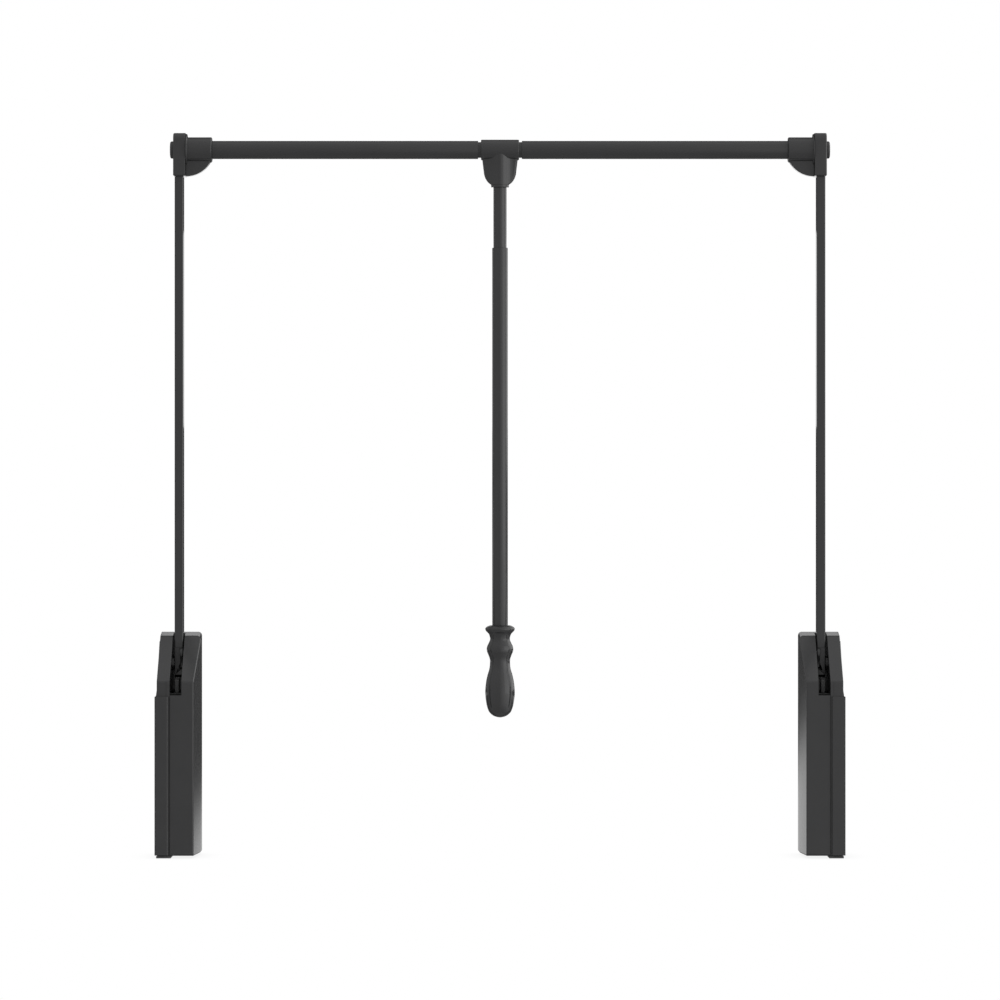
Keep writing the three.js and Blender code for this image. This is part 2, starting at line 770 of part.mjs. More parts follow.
// The handle is turned, with a collar and a bead above its belly, and is bored for the pull rod.
function handle() {
  const stations = handleShares.map(
    ([along, across]) => new THREE.Vector2(across * handleRadius, along * handleLength),
  );
  const curve = new THREE.SplineCurve(stations);
  const bottom = -handleTop - handleLength;
  const skin = curve.getPoints(handleRings).map((point) => [Math.max(point.x, 0), bottom + point.y]);
  skin[0][0] = 0;
  const body = turned([...skin, [0, -handleTop]], "z", railAt, handleSides);
  const bore = rod(pullRadius + gap, [-pullBottom - gap, overrun - handleTop], "z", railAt, largeSides);
  return cut(body, bore, handleBore(handleScrewRadius + gap, 0));
}

function handleScrew() {
  const along = [pullRadius - pullWall - gap, handleNeckShare * handleRadius - handleScrewSink];
  return rod(handleScrewRadius, along, "y", [0, 0, -handleTop - handleScrewDrop], smallSides);
}

// Finishes
const finishes = {
  shell: [0x303032, 0.55, 0],
  steel: [0x2c2c2e, 0.4, 0.3],
  plain: [0xa9abad, 0.35, 1],
  rubber: [0x242425, 0.85, 0],
  nylon: [0x1f1f20, 0.5, 0],
  gloss: [0x2a2a2c, 0.35, 0],
};

// A solid as a named mesh with a material of its own.
function mesh(name, body, finish) {
  const { numProp, vertProperties, triVerts } = body.getMesh();
  const geometry = new THREE.BufferGeometry();
  geometry.setAttribute("position", new THREE.BufferAttribute(vertProperties, numProp));
  geometry.setIndex(new THREE.BufferAttribute(triVerts, 1));
  const [color, roughness, metalness] = finishes[finish];
  const material = new THREE.MeshStandardMaterial({ color, roughness, metalness });
  const piece = new THREE.Mesh(geometry, material);
  piece.name = name;
  return piece;
}

// Pieces at the same place, each as [name, solid, finish].
function group(position, pieces) {
  const holder = new THREE.Group();
  holder.position.set(...position);
  holder.add(...pieces.map(([name, body, finish]) => mesh(name, body, finish)));
  return holder;
}

function housingPieces(side) {
  return [
    [`${side}_mounting_plate`, mountingPlate(), "steel"],
    [`${side}_outer_shell`, outerShell(), "shell"],
    [`${side}_inner_shell`, innerShell(), "shell"],
    [`${side}_cover_strip`, coverStrip(), "shell"],
    [`${side}_bottom_foot`, bottomFoot(), "rubber"],
    [`${side}_pivot_shaft`, pivotShaft(), "plain"],
    [`${side}_retaining_clip`, retainingClip(), "plain"],
    [`${side}_spring_canister`, springCanister(), "plain"],
    [`${side}_lift_spring`, liftSpring(), "plain"],
    [`${side}_plunger`, plunger(), "nylon"],
    [`${side}_lower_stop_buffer`, lowerStopBuffer(), "rubber"],
    [`${side}_upper_stop_buffer`, upperStopBuffer(), "rubber"],
    [`${side}_shell_screw_upper`, shellScrew(screwPlaces.upper), "plain"],
    [`${side}_shell_screw_lower`, shellScrew(screwPlaces.lower), "plain"],
  ];
}

function armPieces(side) {
  return [
    [`${side}_arm_hub`, armHub(), "steel"],
    [`${side}_pivot_bush`, pivotBush(), "nylon"],
    [`${side}_crank_pin`, crankPin(), "plain"],
    [`${side}_arm_tube`, armTube(), "steel"],
    [`${side}_arm_end_block`, armEndBlock(), "shell"],
  ];
}

function railPieces(side) {
  return [
    [`${side}_swivel_pin`, swivelPin(), "plain"],
    [`${side}_swivel_cap`, swivelCap(), "shell"],
    [`${side}_rail_socket`, railSocket(), "shell"],
    [`${side}_socket_screw`, socketScrew(), "plain"],
    [`${side}_rail_outer_tube`, railOuterTube(), "steel"],
    [`${side}_rail_glide`, railGlide(), "nylon"],
  ];
}

const middlePieces = [
  ["rail_inner_tube", railInnerTube(), "steel"],
  ["tee_connector", teeConnector(), "shell"],
  ["tee_screw", teeScrew(), "plain"],
  ["pull_inner_tube", pullInnerTube(), "steel"],
  ["pull_glide", pullGlide(), "nylon"],
  ["pull_outer_tube", pullOuterTube(), "steel"],
  ["handle", handle(), "gloss"],
  ["handle_screw", handleScrew(), "plain"],
];

const closetRod = new THREE.Group();
for (const side of ["left", "right"]) {
  const half = new THREE.Group();
  half.scale.x = side === "left" ? -1 : 1;
  half.add(group([0, 0, 0], housingPieces(side)));
  half.add(group([armMiddle, axisY, pivotHeight], armPieces(side)));
  half.add(group([0, axisY, railHeight], railPieces(side)));
  closetRod.add(half);
}
closetRod.add(group([0, axisY, railHeight], middlePieces));

export default closetRod;
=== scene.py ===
"""The looks of a pull down closet rod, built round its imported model. Everything is in metres."""

import json
from math import acos, atan2, cos, pi, radians, sin, sqrt

import bmesh
import bpy
from mathutils import Matrix, Vector


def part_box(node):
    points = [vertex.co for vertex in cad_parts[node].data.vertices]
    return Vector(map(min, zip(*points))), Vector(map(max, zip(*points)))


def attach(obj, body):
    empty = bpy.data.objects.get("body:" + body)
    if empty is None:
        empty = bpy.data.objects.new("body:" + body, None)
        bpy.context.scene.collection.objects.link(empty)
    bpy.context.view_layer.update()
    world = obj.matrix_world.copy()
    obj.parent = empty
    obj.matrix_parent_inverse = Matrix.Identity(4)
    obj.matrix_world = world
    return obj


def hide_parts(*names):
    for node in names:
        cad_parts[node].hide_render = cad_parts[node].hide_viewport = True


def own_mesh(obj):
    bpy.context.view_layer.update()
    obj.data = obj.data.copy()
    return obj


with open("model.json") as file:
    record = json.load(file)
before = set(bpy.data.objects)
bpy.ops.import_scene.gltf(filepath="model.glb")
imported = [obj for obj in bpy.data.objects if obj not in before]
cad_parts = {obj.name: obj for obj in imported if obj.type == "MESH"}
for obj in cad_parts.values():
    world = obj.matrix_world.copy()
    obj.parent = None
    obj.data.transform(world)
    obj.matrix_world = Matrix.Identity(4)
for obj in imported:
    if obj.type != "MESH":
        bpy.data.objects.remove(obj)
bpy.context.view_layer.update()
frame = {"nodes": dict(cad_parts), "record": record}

MM = 0.001
# Radii under TINY count as none, and places less than NEAR apart as the same
TINY = 1e-7
NEAR = 1e-5
# The least share of a normal along an axis for a face that looks that way
FACING = 0.9
SQUARE_ON = 0.95
# The angle in degrees from which an edge breaks the shading
CREASE = 32
ARC_STEPS = 24

# Camera: level, straight on and far back
CAMERA_DISTANCE = 5.65
CAMERA_HEIGHT = 0.4308
CAMERA_LENS = 169.28


# Mesh helpers. Outlines are lists of (a, b) points, counter-clockwise.
def new_mesh(verts, faces):
    """A mesh whose faces all look outwards."""
    mesh = bpy.data.meshes.new("form")
    mesh.from_pydata([tuple(v) for v in verts], [], faces)
    work = bmesh.new()
    work.from_mesh(mesh)
    bmesh.ops.recalc_face_normals(work, faces=work.faces)
    work.to_mesh(mesh)
    work.free()
    return mesh


def mm(*values):
    """Lengths in millimetres, in metres."""
    return [value * MM for value in values]


def rectangle(low_a, low_b, high_a, high_b):
    return [(low_a, low_b), (high_a, low_b), (high_a, high_b), (low_a, high_b)]


def arc(center, radii, start, turn):
    """Points along an ellipse's arc."""
    points = []
    for step in range(ARC_STEPS + 1):
        angle = start + turn * step / ARC_STEPS
        a = center[0] + radii[0] * cos(angle)
        b = center[1] + radii[1] * sin(angle)
        points.append((a, b))
    return points


def fillet(corners, runs, steps=6):
    """Rounds an outline's corners by arcs that start at a distance, the run, from each corner."""
    count = len(corners)
    points = [Vector(corner) for corner in corners]
    result = []
    for i, corner in enumerate(points):
        run = runs[i] if isinstance(runs, (list, tuple)) else runs
        if run <= 0:
            result.append(corner)
            continue
        before = (points[i - 1] - corner).normalized()
        after = (points[(i + 1) % count] - corner).normalized()
        start = corner + before * run
        end = corner + after * run
        weight = sqrt(max(0.0, (1 - before.dot(after)) / 2))
        for step in range(steps + 1):
            t = step / steps
            parts = ((1 - t) ** 2, 2 * weight * t * (1 - t), t**2)
            result.append((start * parts[0] + corner * parts[1] + end * parts[2]) / sum(parts))
    return result


def inset(corners, distance):
    """Moves a convex outline's sides inwards by a distance."""
    count = len(corners)
    sides = []
    for i in range(count):
        start, end = Vector(corners[i]), Vector(corners[(i + 1) % count])
        along = (end - start).normalized()
        sides.append((start + Vector((-along.y, along.x)) * distance, along))
    result = []
    for i in range(count):
        (a, along_a), (b, along_b) = sides[i - 1], sides[i]
        step = (b - a).cross(along_b) / along_a.cross(along_b)
        result.append(a + along_a * step)
    return result


def hewn(mesh, point, outward):
    """Cuts away what lies beyond a plane and closes the cut."""
    work = bmesh.new()
    work.from_mesh(mesh)
    everything = work.verts[:] + work.edges[:] + work.faces[:]
    cut = bmesh.ops.bisect_plane(
        work, geom=everything, plane_co=point, plane_no=outward, clear_outer=True
    )
    rim = [item for item in cut["geom_cut"] if isinstance(item, bmesh.types.BMEdge)]
    bmesh.ops.contextual_create(work, geom=rim)
    bmesh.ops.recalc_face_normals(work, faces=work.faces)
    work.to_mesh(mesh)
    work.free()
    return mesh


PLACE = {
    "x": lambda a, b, t: (t, a, b),
    "y": lambda a, b, t: (a, t, b),
    "z": lambda a, b, t: (a, b, t),
}


def prism(outline, axis, low, high):
    """Pushes an outline along an axis: (y, z) along x, (x, z) along y, (x, y) along z."""
    place = PLACE[axis]
    count = len(outline)
    verts = [place(a, b, t) for t in (low, high) for a, b in outline]
    faces = [tuple(range(count)), tuple(range(count, 2 * count))]
    for i in range(count):
        j = (i + 1) % count
        faces.append((i, j, j + count, i + count))
    return new_mesh(verts, faces)


def block(low, high):
    """A box between two corners."""
    return prism(rectangle(low[0], low[1], high[0], high[1]), "z", low[2], high[2])


SPIN = {
    "x": lambda r, along, turn: (along, r * sin(turn), r * cos(turn)),
    "y": lambda r, along, turn: (r * cos(turn), along, r * sin(turn)),
    "z": lambda r, along, turn: (r * cos(turn), r * sin(turn), along),
}


def lathe(profile, axis, at=(0, 0, 0), sides=96, ring=False):
    """Turns a profile of (radius, place along the axis). A ring's profile closes on itself."""
    spin = SPIN[axis]
    at = Vector(at)
    verts = []
    rows = []
    for radius, along in profile:
        if radius <= TINY:
            rows.append([len(verts)] * sides)
            verts.append(at + Vector(spin(0, along, 0)))
            continue
        rows.append(list(range(len(verts), len(verts) + sides)))
        for i in range(sides):
            verts.append(at + Vector(spin(radius, along, 2 * pi * i / sides)))
    pairs = list(zip(rows, rows[1:]))
    if ring:
        pairs.append((rows[-1], rows[0]))
    faces = []
    for a, b in pairs:
        for i in range(sides):
            j = (i + 1) % sides
            corners = (a[i], a[j], b[j], b[i])
            face = tuple(dict.fromkeys(corners))
            if len(face) > 2:
                faces.append(face)
    return new_mesh(verts, faces)


def rod(radius, low, high, axis, at=(0, 0, 0), edge=0.0, sides=96):
    """A solid rod with rounded ends."""
    profile = fillet(rectangle(0, low, radius, high), [0, edge, edge, 0])
    return lathe(profile, axis, at, sides)


def pipe(radius, wall, low, high, axis, at=(0, 0, 0), edge=0.0, sides=96):
    """A tube with rounded rims."""
    profile = fillet(rectangle(radius - wall, low, radius, high), edge, 4)
    return lathe(profile, axis, at, sides, ring=True)


def belt(center, radius, other, other_radius, sides=96):
    """The outline round two circles."""
    center, other = Vector(center), Vector(other)
    span = other - center
    base = atan2(span.y, span.x)
    spread = acos((radius - other_radius) / span.length)
    points = []
    arcs = (
        (center, radius, base + spread, 2 * (pi - spread)),
        (other, other_radius, base - spread, 2 * spread),
    )
    for at, reach, start, turn in arcs:
        count = max(4, round(sides * turn / (2 * pi)))
        for step in range(count + 1):
            angle = start + turn * step / count
            points.append(at + Vector((cos(angle), sin(angle))) * reach)
    return points


def coil(radius, wire, low, high, turns, at, steps=28, sides=10):
    """A compression spring along z whose first and last turns lie close together."""
    path = []
    closed = 1.5
    span = high - low - 2 * wire
    tight = 2.1 * wire
    pitch = (span - 2 * closed * tight) / (turns - 2 * closed)
    height = low + wire
    count = int(turns * steps)
    for i in range(count + 1):
        turn = i / steps
        angle = 2 * pi * turn
        path.append((angle, height))
        near_end = turn < closed or turn >= turns - closed
        height += (tight if near_end else pitch) / steps
    verts = []
    for angle, z in path:
        for k in range(sides):
            lean = 2 * pi * k / sides
            reach = radius + wire * cos(lean)
            spot = (reach * cos(angle), reach * sin(angle), z + wire * sin(lean))
            verts.append(Vector(at) + Vector(spot))
    faces = [tuple(range(sides)), tuple(range(count * sides, (count + 1) * sides))]
    for i in range(count):
        for k in range(sides):
            j = (k + 1) % sides
            a, b = i * sides, (i + 1) * sides
            faces.append((a + k, a + j, b + j, b + k))
    return new_mesh(verts, faces)


def placed(name, data):
    """An object in the scene."""
    item = bpy.data.objects.new(name, data)
    bpy.context.scene.collection.objects.link(item)
    return item


def shaped(mesh, *steps):
    """Runs modifiers, each (kind, settings), on a mesh and returns the mesh that results."""
    holder = placed("holder", mesh)
    for kind, settings in steps:
        modifier = holder.modifiers.new(kind.lower(), kind)
        for name, value in settings.items():
            setattr(modifier, name, value)
    graph = bpy.context.evaluated_depsgraph_get()
    result = bpy.data.meshes.new_from_object(holder.evaluated_get(graph))
    bpy.data.objects.remove(holder)
    return result


def combined(mesh, joins=(), cuts=()):
    """Joins solids to a solid, then cuts others from it."""
    steps = []
    tools = []
    for operation, meshes in (("UNION", joins), ("DIFFERENCE", cuts)):
        for tool in meshes:
            holder = placed("tool", tool)
            tools.append(holder)
            settings = {"operation": operation, "object": holder, "solver": "MANIFOLD"}
            steps.append(("BOOLEAN", settings))
    result = shaped(mesh, *steps)
    for holder in tools:
        bpy.data.objects.remove(holder)
    return result


def eased(mesh, width_of, segments=3):
    """Rounds each edge by the width that width_of gives for the normals beside it and its ends."""
    work = bmesh.new()
    work.from_mesh(mesh)
    bmesh.ops.remove_doubles(work, verts=work.verts, dist=TINY)
    bmesh.ops.dissolve_limit(
        work, angle_limit=radians(0.5), verts=work.verts, edges=work.edges
    )
    work.normal_update()
    widths = {}
    for edge in work.edges:
        if len(edge.link_faces) == 2:
            normals = [face.normal.copy() for face in edge.link_faces]
            width = width_of(*normals, *[vert.co for vert in edge.verts])
            if width > 0:
                widths[edge.index] = width
    layer = work.edges.layers.float.new("bevel_weight_edge")
    widest = max(widths.values())
    work.edges.ensure_lookup_table()
    for index, width in widths.items():
        work.edges[index][layer] = width / widest
    work.to_mesh(mesh)
    work.free()
    settings = {
        "limit_method": "WEIGHT",
        "width": widest,
        "segments": segments,
        "use_clamp_overlap": False,
        "miter_outer": "MITER_SHARP",
    }
    return shaped(mesh, ("BEVEL", settings))


def sharp_edges(width, least=30):
    """Every edge that turns by more than an angle is eased by the same width."""
    limit = cos(radians(least))
    return lambda a, b, start, end: width if a.dot(b) < limit else 0


def mirrored(mesh):
    """The same form on the other side."""
    copy = mesh.copy()
    copy.transform(Matrix.Scale(-1, 4, (1, 0, 0)))
    copy.flip_normals()
    return copy


def by_side(mesh):
    """The form for the right side and its mirror image for the left."""
    return (("right", mesh), ("left", mirrored(mesh)))


def piece(node, mesh, material, body, flat=False):
    """The visible form of a CAD node, which it replaces. It rides on a body and has a finish."""
    name = f"{node}_shape"
    mesh.name = name
    item = placed(name, mesh)
    mesh.materials.clear()
    mesh.materials.append(MATERIALS[material])
    for face in mesh.polygons:
        face.use_smooth = True
    mesh.set_sharp_from_angle(angle=radians(CREASE))
    if flat:
        modifier = item.modifiers.new("weighted", "WEIGHTED_NORMAL")
        modifier.keep_sharp = True
    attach(item, body)
    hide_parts(node)
    return item


def pair(name, mesh, material, body, flat=False):
    """The piece at +X and its mirror image at -X, each in place of the CAD node of its name."""
    for side, form in by_side(mesh):
        piece(f"{side}_{name}", form, material, f"{side}_{body}", flat)


# Node graphs
class Graph:
    """Adds nodes to a tree. Their inputs are numbers, colours or sockets to link from."""

    def __init__(self, tree):
        self.tree = tree
        tree.nodes.clear()

    def add(self, kind, inputs=(), **settings):
        node = self.tree.nodes.new(kind)
        for name, value in settings.items():
            setattr(node, name, value)
        for name, value in dict(inputs).items():
            if isinstance(value, bpy.types.NodeSocket):
                self.tree.links.new(value, node.inputs[name])
            else:
                node.inputs[name].default_value = value
        return node


# How finely a coating's patches vary, by how much their tone, and how high the grain is
PATCH_SCALE = 38.0
TONE_SPREAD = 0.1
GRAIN_HEIGHT = 0.00002


def coated(name, color, roughness, spread, grain, relief, metallic=0.0):
    """A moulded or painted surface: noise varies its roughness and tone and raises a fine grain."""
    material = bpy.data.materials.new(name)
    material.use_nodes = True
    graph = Graph(material.node_tree)
    place = graph.add("ShaderNodeTexCoord").outputs["Object"]
    noise = {"Vector": place, "Scale": PATCH_SCALE, "Detail": 4.0}
    patches = graph.add("ShaderNodeTexNoise", noise).outputs["Fac"]
    noise = {"Vector": place, "Scale": grain, "Detail": 3.0}
    fine = graph.add("ShaderNodeTexNoise", noise).outputs["Fac"]
    limits = {"Value": patches, "To Min": roughness - spread, "To Max": roughness + spread}
    rough = graph.add("ShaderNodeMapRange", limits).outputs["Result"]
    dark = (*[c * (1 - TONE_SPREAD) for c in color], 1)
    light = (*[c * (1 + TONE_SPREAD) for c in color], 1)
    tones = {"Factor": patches, "A": dark, "B": light}
    tone = graph.add("ShaderNodeMix", tones, data_type="RGBA").outputs["Result"]
    heights = {"Height": fine, "Strength": relief, "Distance": GRAIN_HEIGHT}
    bump = graph.add("ShaderNodeBump", heights).outputs["Normal"]
    looks = {"Base Color": tone, "Roughness": rough, "Metallic": metallic, "Normal": bump}
    shader = graph.add("ShaderNodeBsdfPrincipled", looks).outputs["BSDF"]
    graph.add("ShaderNodeOutputMaterial", {"Surface": shader})
    return material


BLACK = (0.038, 0.038, 0.039)
# Colour, roughness and how far it varies, the grain's fineness and relief, and metal
FINISHES = {
    "black_shell": (BLACK, 0.13, 0.02, 2600, 0.35),
    "black_steel": (BLACK, 0.13, 0.02, 900, 0.3),
    "black_handle": (BLACK, 0.12, 0.02, 600, 0.15),
    "black_rubber": ((0.08, 0.08, 0.08), 0.5, 0.06, 1800, 0.3),
    "plain_steel": ((0.55, 0.56, 0.57), 0.3, 0.08, 700, 0.15, 1.0),
    "black_nylon": ((0.02, 0.02, 0.02), 0.45, 0.05, 900, 0.1),
}
MATERIALS = {name: coated(name, *finish) for name, finish in FINISHES.items()}


def dress_nodes():
    """Gives the CAD's own solids their finishes too."""
    for row in frame["record"]["subparts"]:
        node = frame["nodes"][row["node"]]
        node.data.materials.clear()
        node.data.materials.append(MATERIALS[row["material_slot"]])


dress_nodes()


# Places that the pieces share, from the frame, for the side at +X
rail_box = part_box("right_rail_outer_tube")
RAIL_AT = Vector((0, (rail_box[0].y + rail_box[1].y) / 2, (rail_box[0].z + rail_box[1].z) / 2))
PIVOT = Vector((0, RAIL_AT.y, 0.232))
PULL_AT = (0, RAIL_AT.y, 0)
screw_low, screw_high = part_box("right_socket_screw")
socket_screw_at = Vector(((screw_low.x + screw_high.x) / 2, 0, RAIL_AT.z))

# How far a form that cuts or joins reaches past the other
REACH = 6 * MM
RAIL_RADIUS = 11 * MM
RAIL_WALL = 1.1 * MM
INNER_RAIL_RADIUS = 9.55 * MM
INNER_RAIL_WALL = 1.2 * MM
TUBE_EDGE = 0.35 * MM
LOCK_HOLE = 2 * MM
LOCK_HOLE_DEPTH = 20 * MM
# The swivel cap's hollow and roof, as shares of its radius and its rise
CAP_HOLLOW = 0.79
CAP_ROOF = 0.4


# Rail
def back_hole(radius, depth, at):
    """The form of a hole that runs from the rail's axis out through the back."""
    return rod(radius, RAIL_AT.y, RAIL_AT.y + depth, "y", at, sides=32)


def rail_tubes():
    low, high = rail_box
    tube = pipe(RAIL_RADIUS, RAIL_WALL, low.x, high.x, "x", RAIL_AT, TUBE_EDGE)
    tube = combined(tube, cuts=[back_hole(LOCK_HOLE, LOCK_HOLE_DEPTH, socket_screw_at)])
    pair("rail_outer_tube", tube, "black_steel", "rail")
    low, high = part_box("rail_inner_tube")
    tube = pipe(INNER_RAIL_RADIUS, INNER_RAIL_WALL, low.x, high.x, "x", RAIL_AT, TUBE_EDGE)
    piece("rail_inner_tube", tube, "black_steel", "rail_middle")


def swivel_caps():
    low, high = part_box("right_swivel_cap")
    radius = (high.z - low.z) / 2
    rise = high.x - low.x
    hollow = radius * CAP_HOLLOW
    dome = 0.2 * MM
    outline = [(hollow, low.x), (radius, low.x), (radius, high.x - dome), (0, high.x)]
    skin = fillet(outline, mm(0, 0.25, 2, 0))
    ceiling = high.x - rise * CAP_ROOF
    cap = lathe([(0, low.x), *skin], "x", RAIL_AT)
    bore = rod(hollow, low.x - REACH, ceiling, "x", RAIL_AT)
    pair("swivel_cap", combined(cap, cuts=[bore]), "black_shell", "arm")


rail_tubes()
swivel_caps()


# Housing sizes that the frame's boxes don't give
WALL = 2.5 * MM
GAP = 0.3 * MM
SLOPE_FOOT = 212.7 * MM
SLOPE_HEAD = 265.8 * MM
SLOPE_DEPTH = 62 * MM
TAPER = 5 * MM
TAPER_DEPTH = 54 * MM
SLOT_FOOT = 196 * MM
SLOT_BACK = 36.6 * MM
SLOT_SIDE = 1.6 * MM
BOSS_RADIUS = 8 * MM
POST_RADIUS = 4.6 * MM
SHAFT_BORE = 5.3 * MM
SCREW_BORE = 2.3 * MM
CLAMP_FALL = 72 * MM
CLAMP_HEIGHT = 4 * MM
SHELF_HEIGHT = 7 * MM
REBATE_DEPTH = 1.6 * MM
GROOVE_PLACE = 1.8 * MM
GROOVE_WIDTH = 0.7 * MM
GROOVE_DEPTH = 0.5 * MM
LIP_REACH = 1.7 * MM
LIP_WALL = 1 * MM
LIP_FOOT = 8 * MM
LIP_FALL = 4 * MM
PLATE_FRONT = 6.3 * MM
PLATE_STEP = 12 * MM
PLATE_BEND = 33 * MM
PLATE_HOLE = 2.75 * MM
HOLE_INSET = 12 * MM
HOOK_HEIGHT = 14 * MM
HOOK_REACH = 7 * MM
STRIP_LAP = 7 * MM

# Roundings of the housing's edges
PARTING_EDGE = 0.4 * MM
FITTING_EDGE = 0.5 * MM
SHEET_EDGE = 0.35 * MM
SLOPE_ROUND = 1.8 * MM
TOP_ROUND = 1 * MM
CORNER_ROUND = 3 * MM
LEAST_ROUND = 0.5 * MM
INNER_TOP_ROUND = 4.5 * MM
INNER_ROUND = 1.4 * MM
INNER_BACK_ROUND = 2.8 * MM
OUTER_SIDE_ROUND = 0.6 * MM
STRIP_ROUND = 0.55 * MM
STRIP_CORNER_ROUND = 1.2 * MM
FOOT_ROUND = 0.9 * MM
BUFFER_ROUND = 0.7 * MM

inner_low, inner_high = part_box("right_inner_shell")
outer_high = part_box("right_outer_shell")[1]
plate_low, plate_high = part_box("right_mounting_plate")
strip_low, strip_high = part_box("right_cover_strip")
arm_low, arm_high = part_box("right_arm_tube")
plunger_low, plunger_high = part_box("right_plunger")
canister_low, canister_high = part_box("right_spring_canister")

# The shell screws, upper and lower, as (y, z)
SCREW_PLACES = [
    (inner_high.y - 11 * MM, PIVOT.z - 42 * MM),
    (inner_low.y + 14 * MM, inner_low.z + 19 * MM),
]


def housing_outline(shrink=0.0):
    """The housing from the side, as (y, z)."""
    front, back = inner_low.y, inner_high.y
    corners = [
        (front, inner_low.z),
        (back, inner_low.z),
        (back, inner_high.z),
        (front + SLOPE_DEPTH, SLOPE_HEAD),
        (front, SLOPE_FOOT),
    ]
    return inset(corners, shrink)


def profile_run(a, b):
    """The rounding between two faces that run across the housing."""
    if any(0.3 < abs(normal.z) < SQUARE_ON for normal in (a, b)):
        return SLOPE_ROUND
    return TOP_ROUND if max(a.z, b.z) > SQUARE_ON else CORNER_ROUND


def inner_skin(shrink, side_high):
    """The inner shell's outside, or its hollow when it is shrunk by the wall."""
    side = inner_low.x + shrink
    form = prism(housing_outline(shrink), "x", side, side_high)
    along = Vector((-TAPER, TAPER_DEPTH, 0)).normalized()
    outward = Vector((-along.y, along.x, 0))
    start = Vector((inner_low.x + TAPER, inner_low.y, 0)) - outward * shrink
    form = hewn(form, start, outward)

    def run(a, b, start, end):
        inward = [normal.x < -FACING for normal in (a, b)]
        if max(a.x, b.x) > FACING:
            return PARTING_EDGE
        if all(inward):
            return 0
        if not any(inward):
            return max(profile_run(a, b) - shrink, LEAST_ROUND)
        other = b if inward[0] else a
        if abs(other.z) > SQUARE_ON:
            return (INNER_TOP_ROUND if other.z > 0 else INNER_ROUND) - shrink * 0.4
        if other.y > FACING:
            return INNER_BACK_ROUND - shrink
        return INNER_ROUND - shrink * 0.3

    return eased(form, run, segments=6)


def all_at(place, *values):
    """Tells whether all the values are at a place."""
    return all(abs(value - place) < NEAR for value in values)


def inner_shells():
    open_side = inner_high.x + REACH
    shell = combined(inner_skin(0, inner_high.x), cuts=[inner_skin(WALL, open_side)])
    center = Vector((plunger_low + plunger_high) / 2)
    reach = (canister_high.x - canister_low.x) / 2 + WALL
    ring_end = plunger_low.x - GAP
    side = inner_low.x + WALL / 2
    clamp_foot = PIVOT.z - CLAMP_FALL
    clamp = block(
        (side, center.y - reach, clamp_foot),
        (center.x + reach, center.y + reach, clamp_foot + CLAMP_HEIGHT),
    )
    boss = rod(BOSS_RADIUS, side, ring_end, "x", PIVOT, FITTING_EDGE, 64)
    fittings = [boss, clamp]
    low, high = clamp_foot - REACH, clamp_foot + REACH * 2
    bores = [
        rod(SHAFT_BORE, inner_low.x + WALL, open_side, "x", PIVOT, sides=64),
        rod(reach - WALL + GAP, low, high, "z", (center.x, center.y, 0)),
    ]
    for y, z in SCREW_PLACES:
        at = (0, y, z)
        root = side + TAPER * max(0, 1 - (y - inner_low.y) / TAPER_DEPTH)
        fittings.append(rod(POST_RADIUS, root, inner_high.x - GAP, "x", at, sides=48))
        bores.append(rod(SCREW_BORE, root + WALL, open_side, "x", at, sides=32))
    slot_side = arm_low.x - SLOT_SIDE
    slot = block(
        (slot_side, inner_low.y - REACH, SLOT_FOOT),
        (open_side, SLOT_BACK, inner_high.z + REACH),
    )
    shell = combined(combined(shell, joins=fittings), cuts=[slot, *bores])

    def slot_edge(a, b, start, end):
        """Only the slot's visible edges are eased, where it runs out through the skin."""
        at_front = start.y < inner_low.y + 1e-4 or start.z > SLOPE_FOOT - 6 * MM
        if not at_front or max(start.y, end.y) >= SLOT_BACK:
            return 0
        for wall, skin in ((a, b), (b, a)):
            beside = wall.x > 0.99 and all_at(slot_side, start.x, end.x)
            under = wall.z > 0.99 and all_at(SLOT_FOOT, start.z, end.z)
            on_skin = skin.y < -0.2 or skin.z > 0.5
            if (beside or under) and on_skin and wall.dot(skin) < 0.5:
                return PARTING_EDGE
        return 0

    pair("inner_shell", eased(shell, slot_edge, 3), "black_shell", "housing", flat=True)


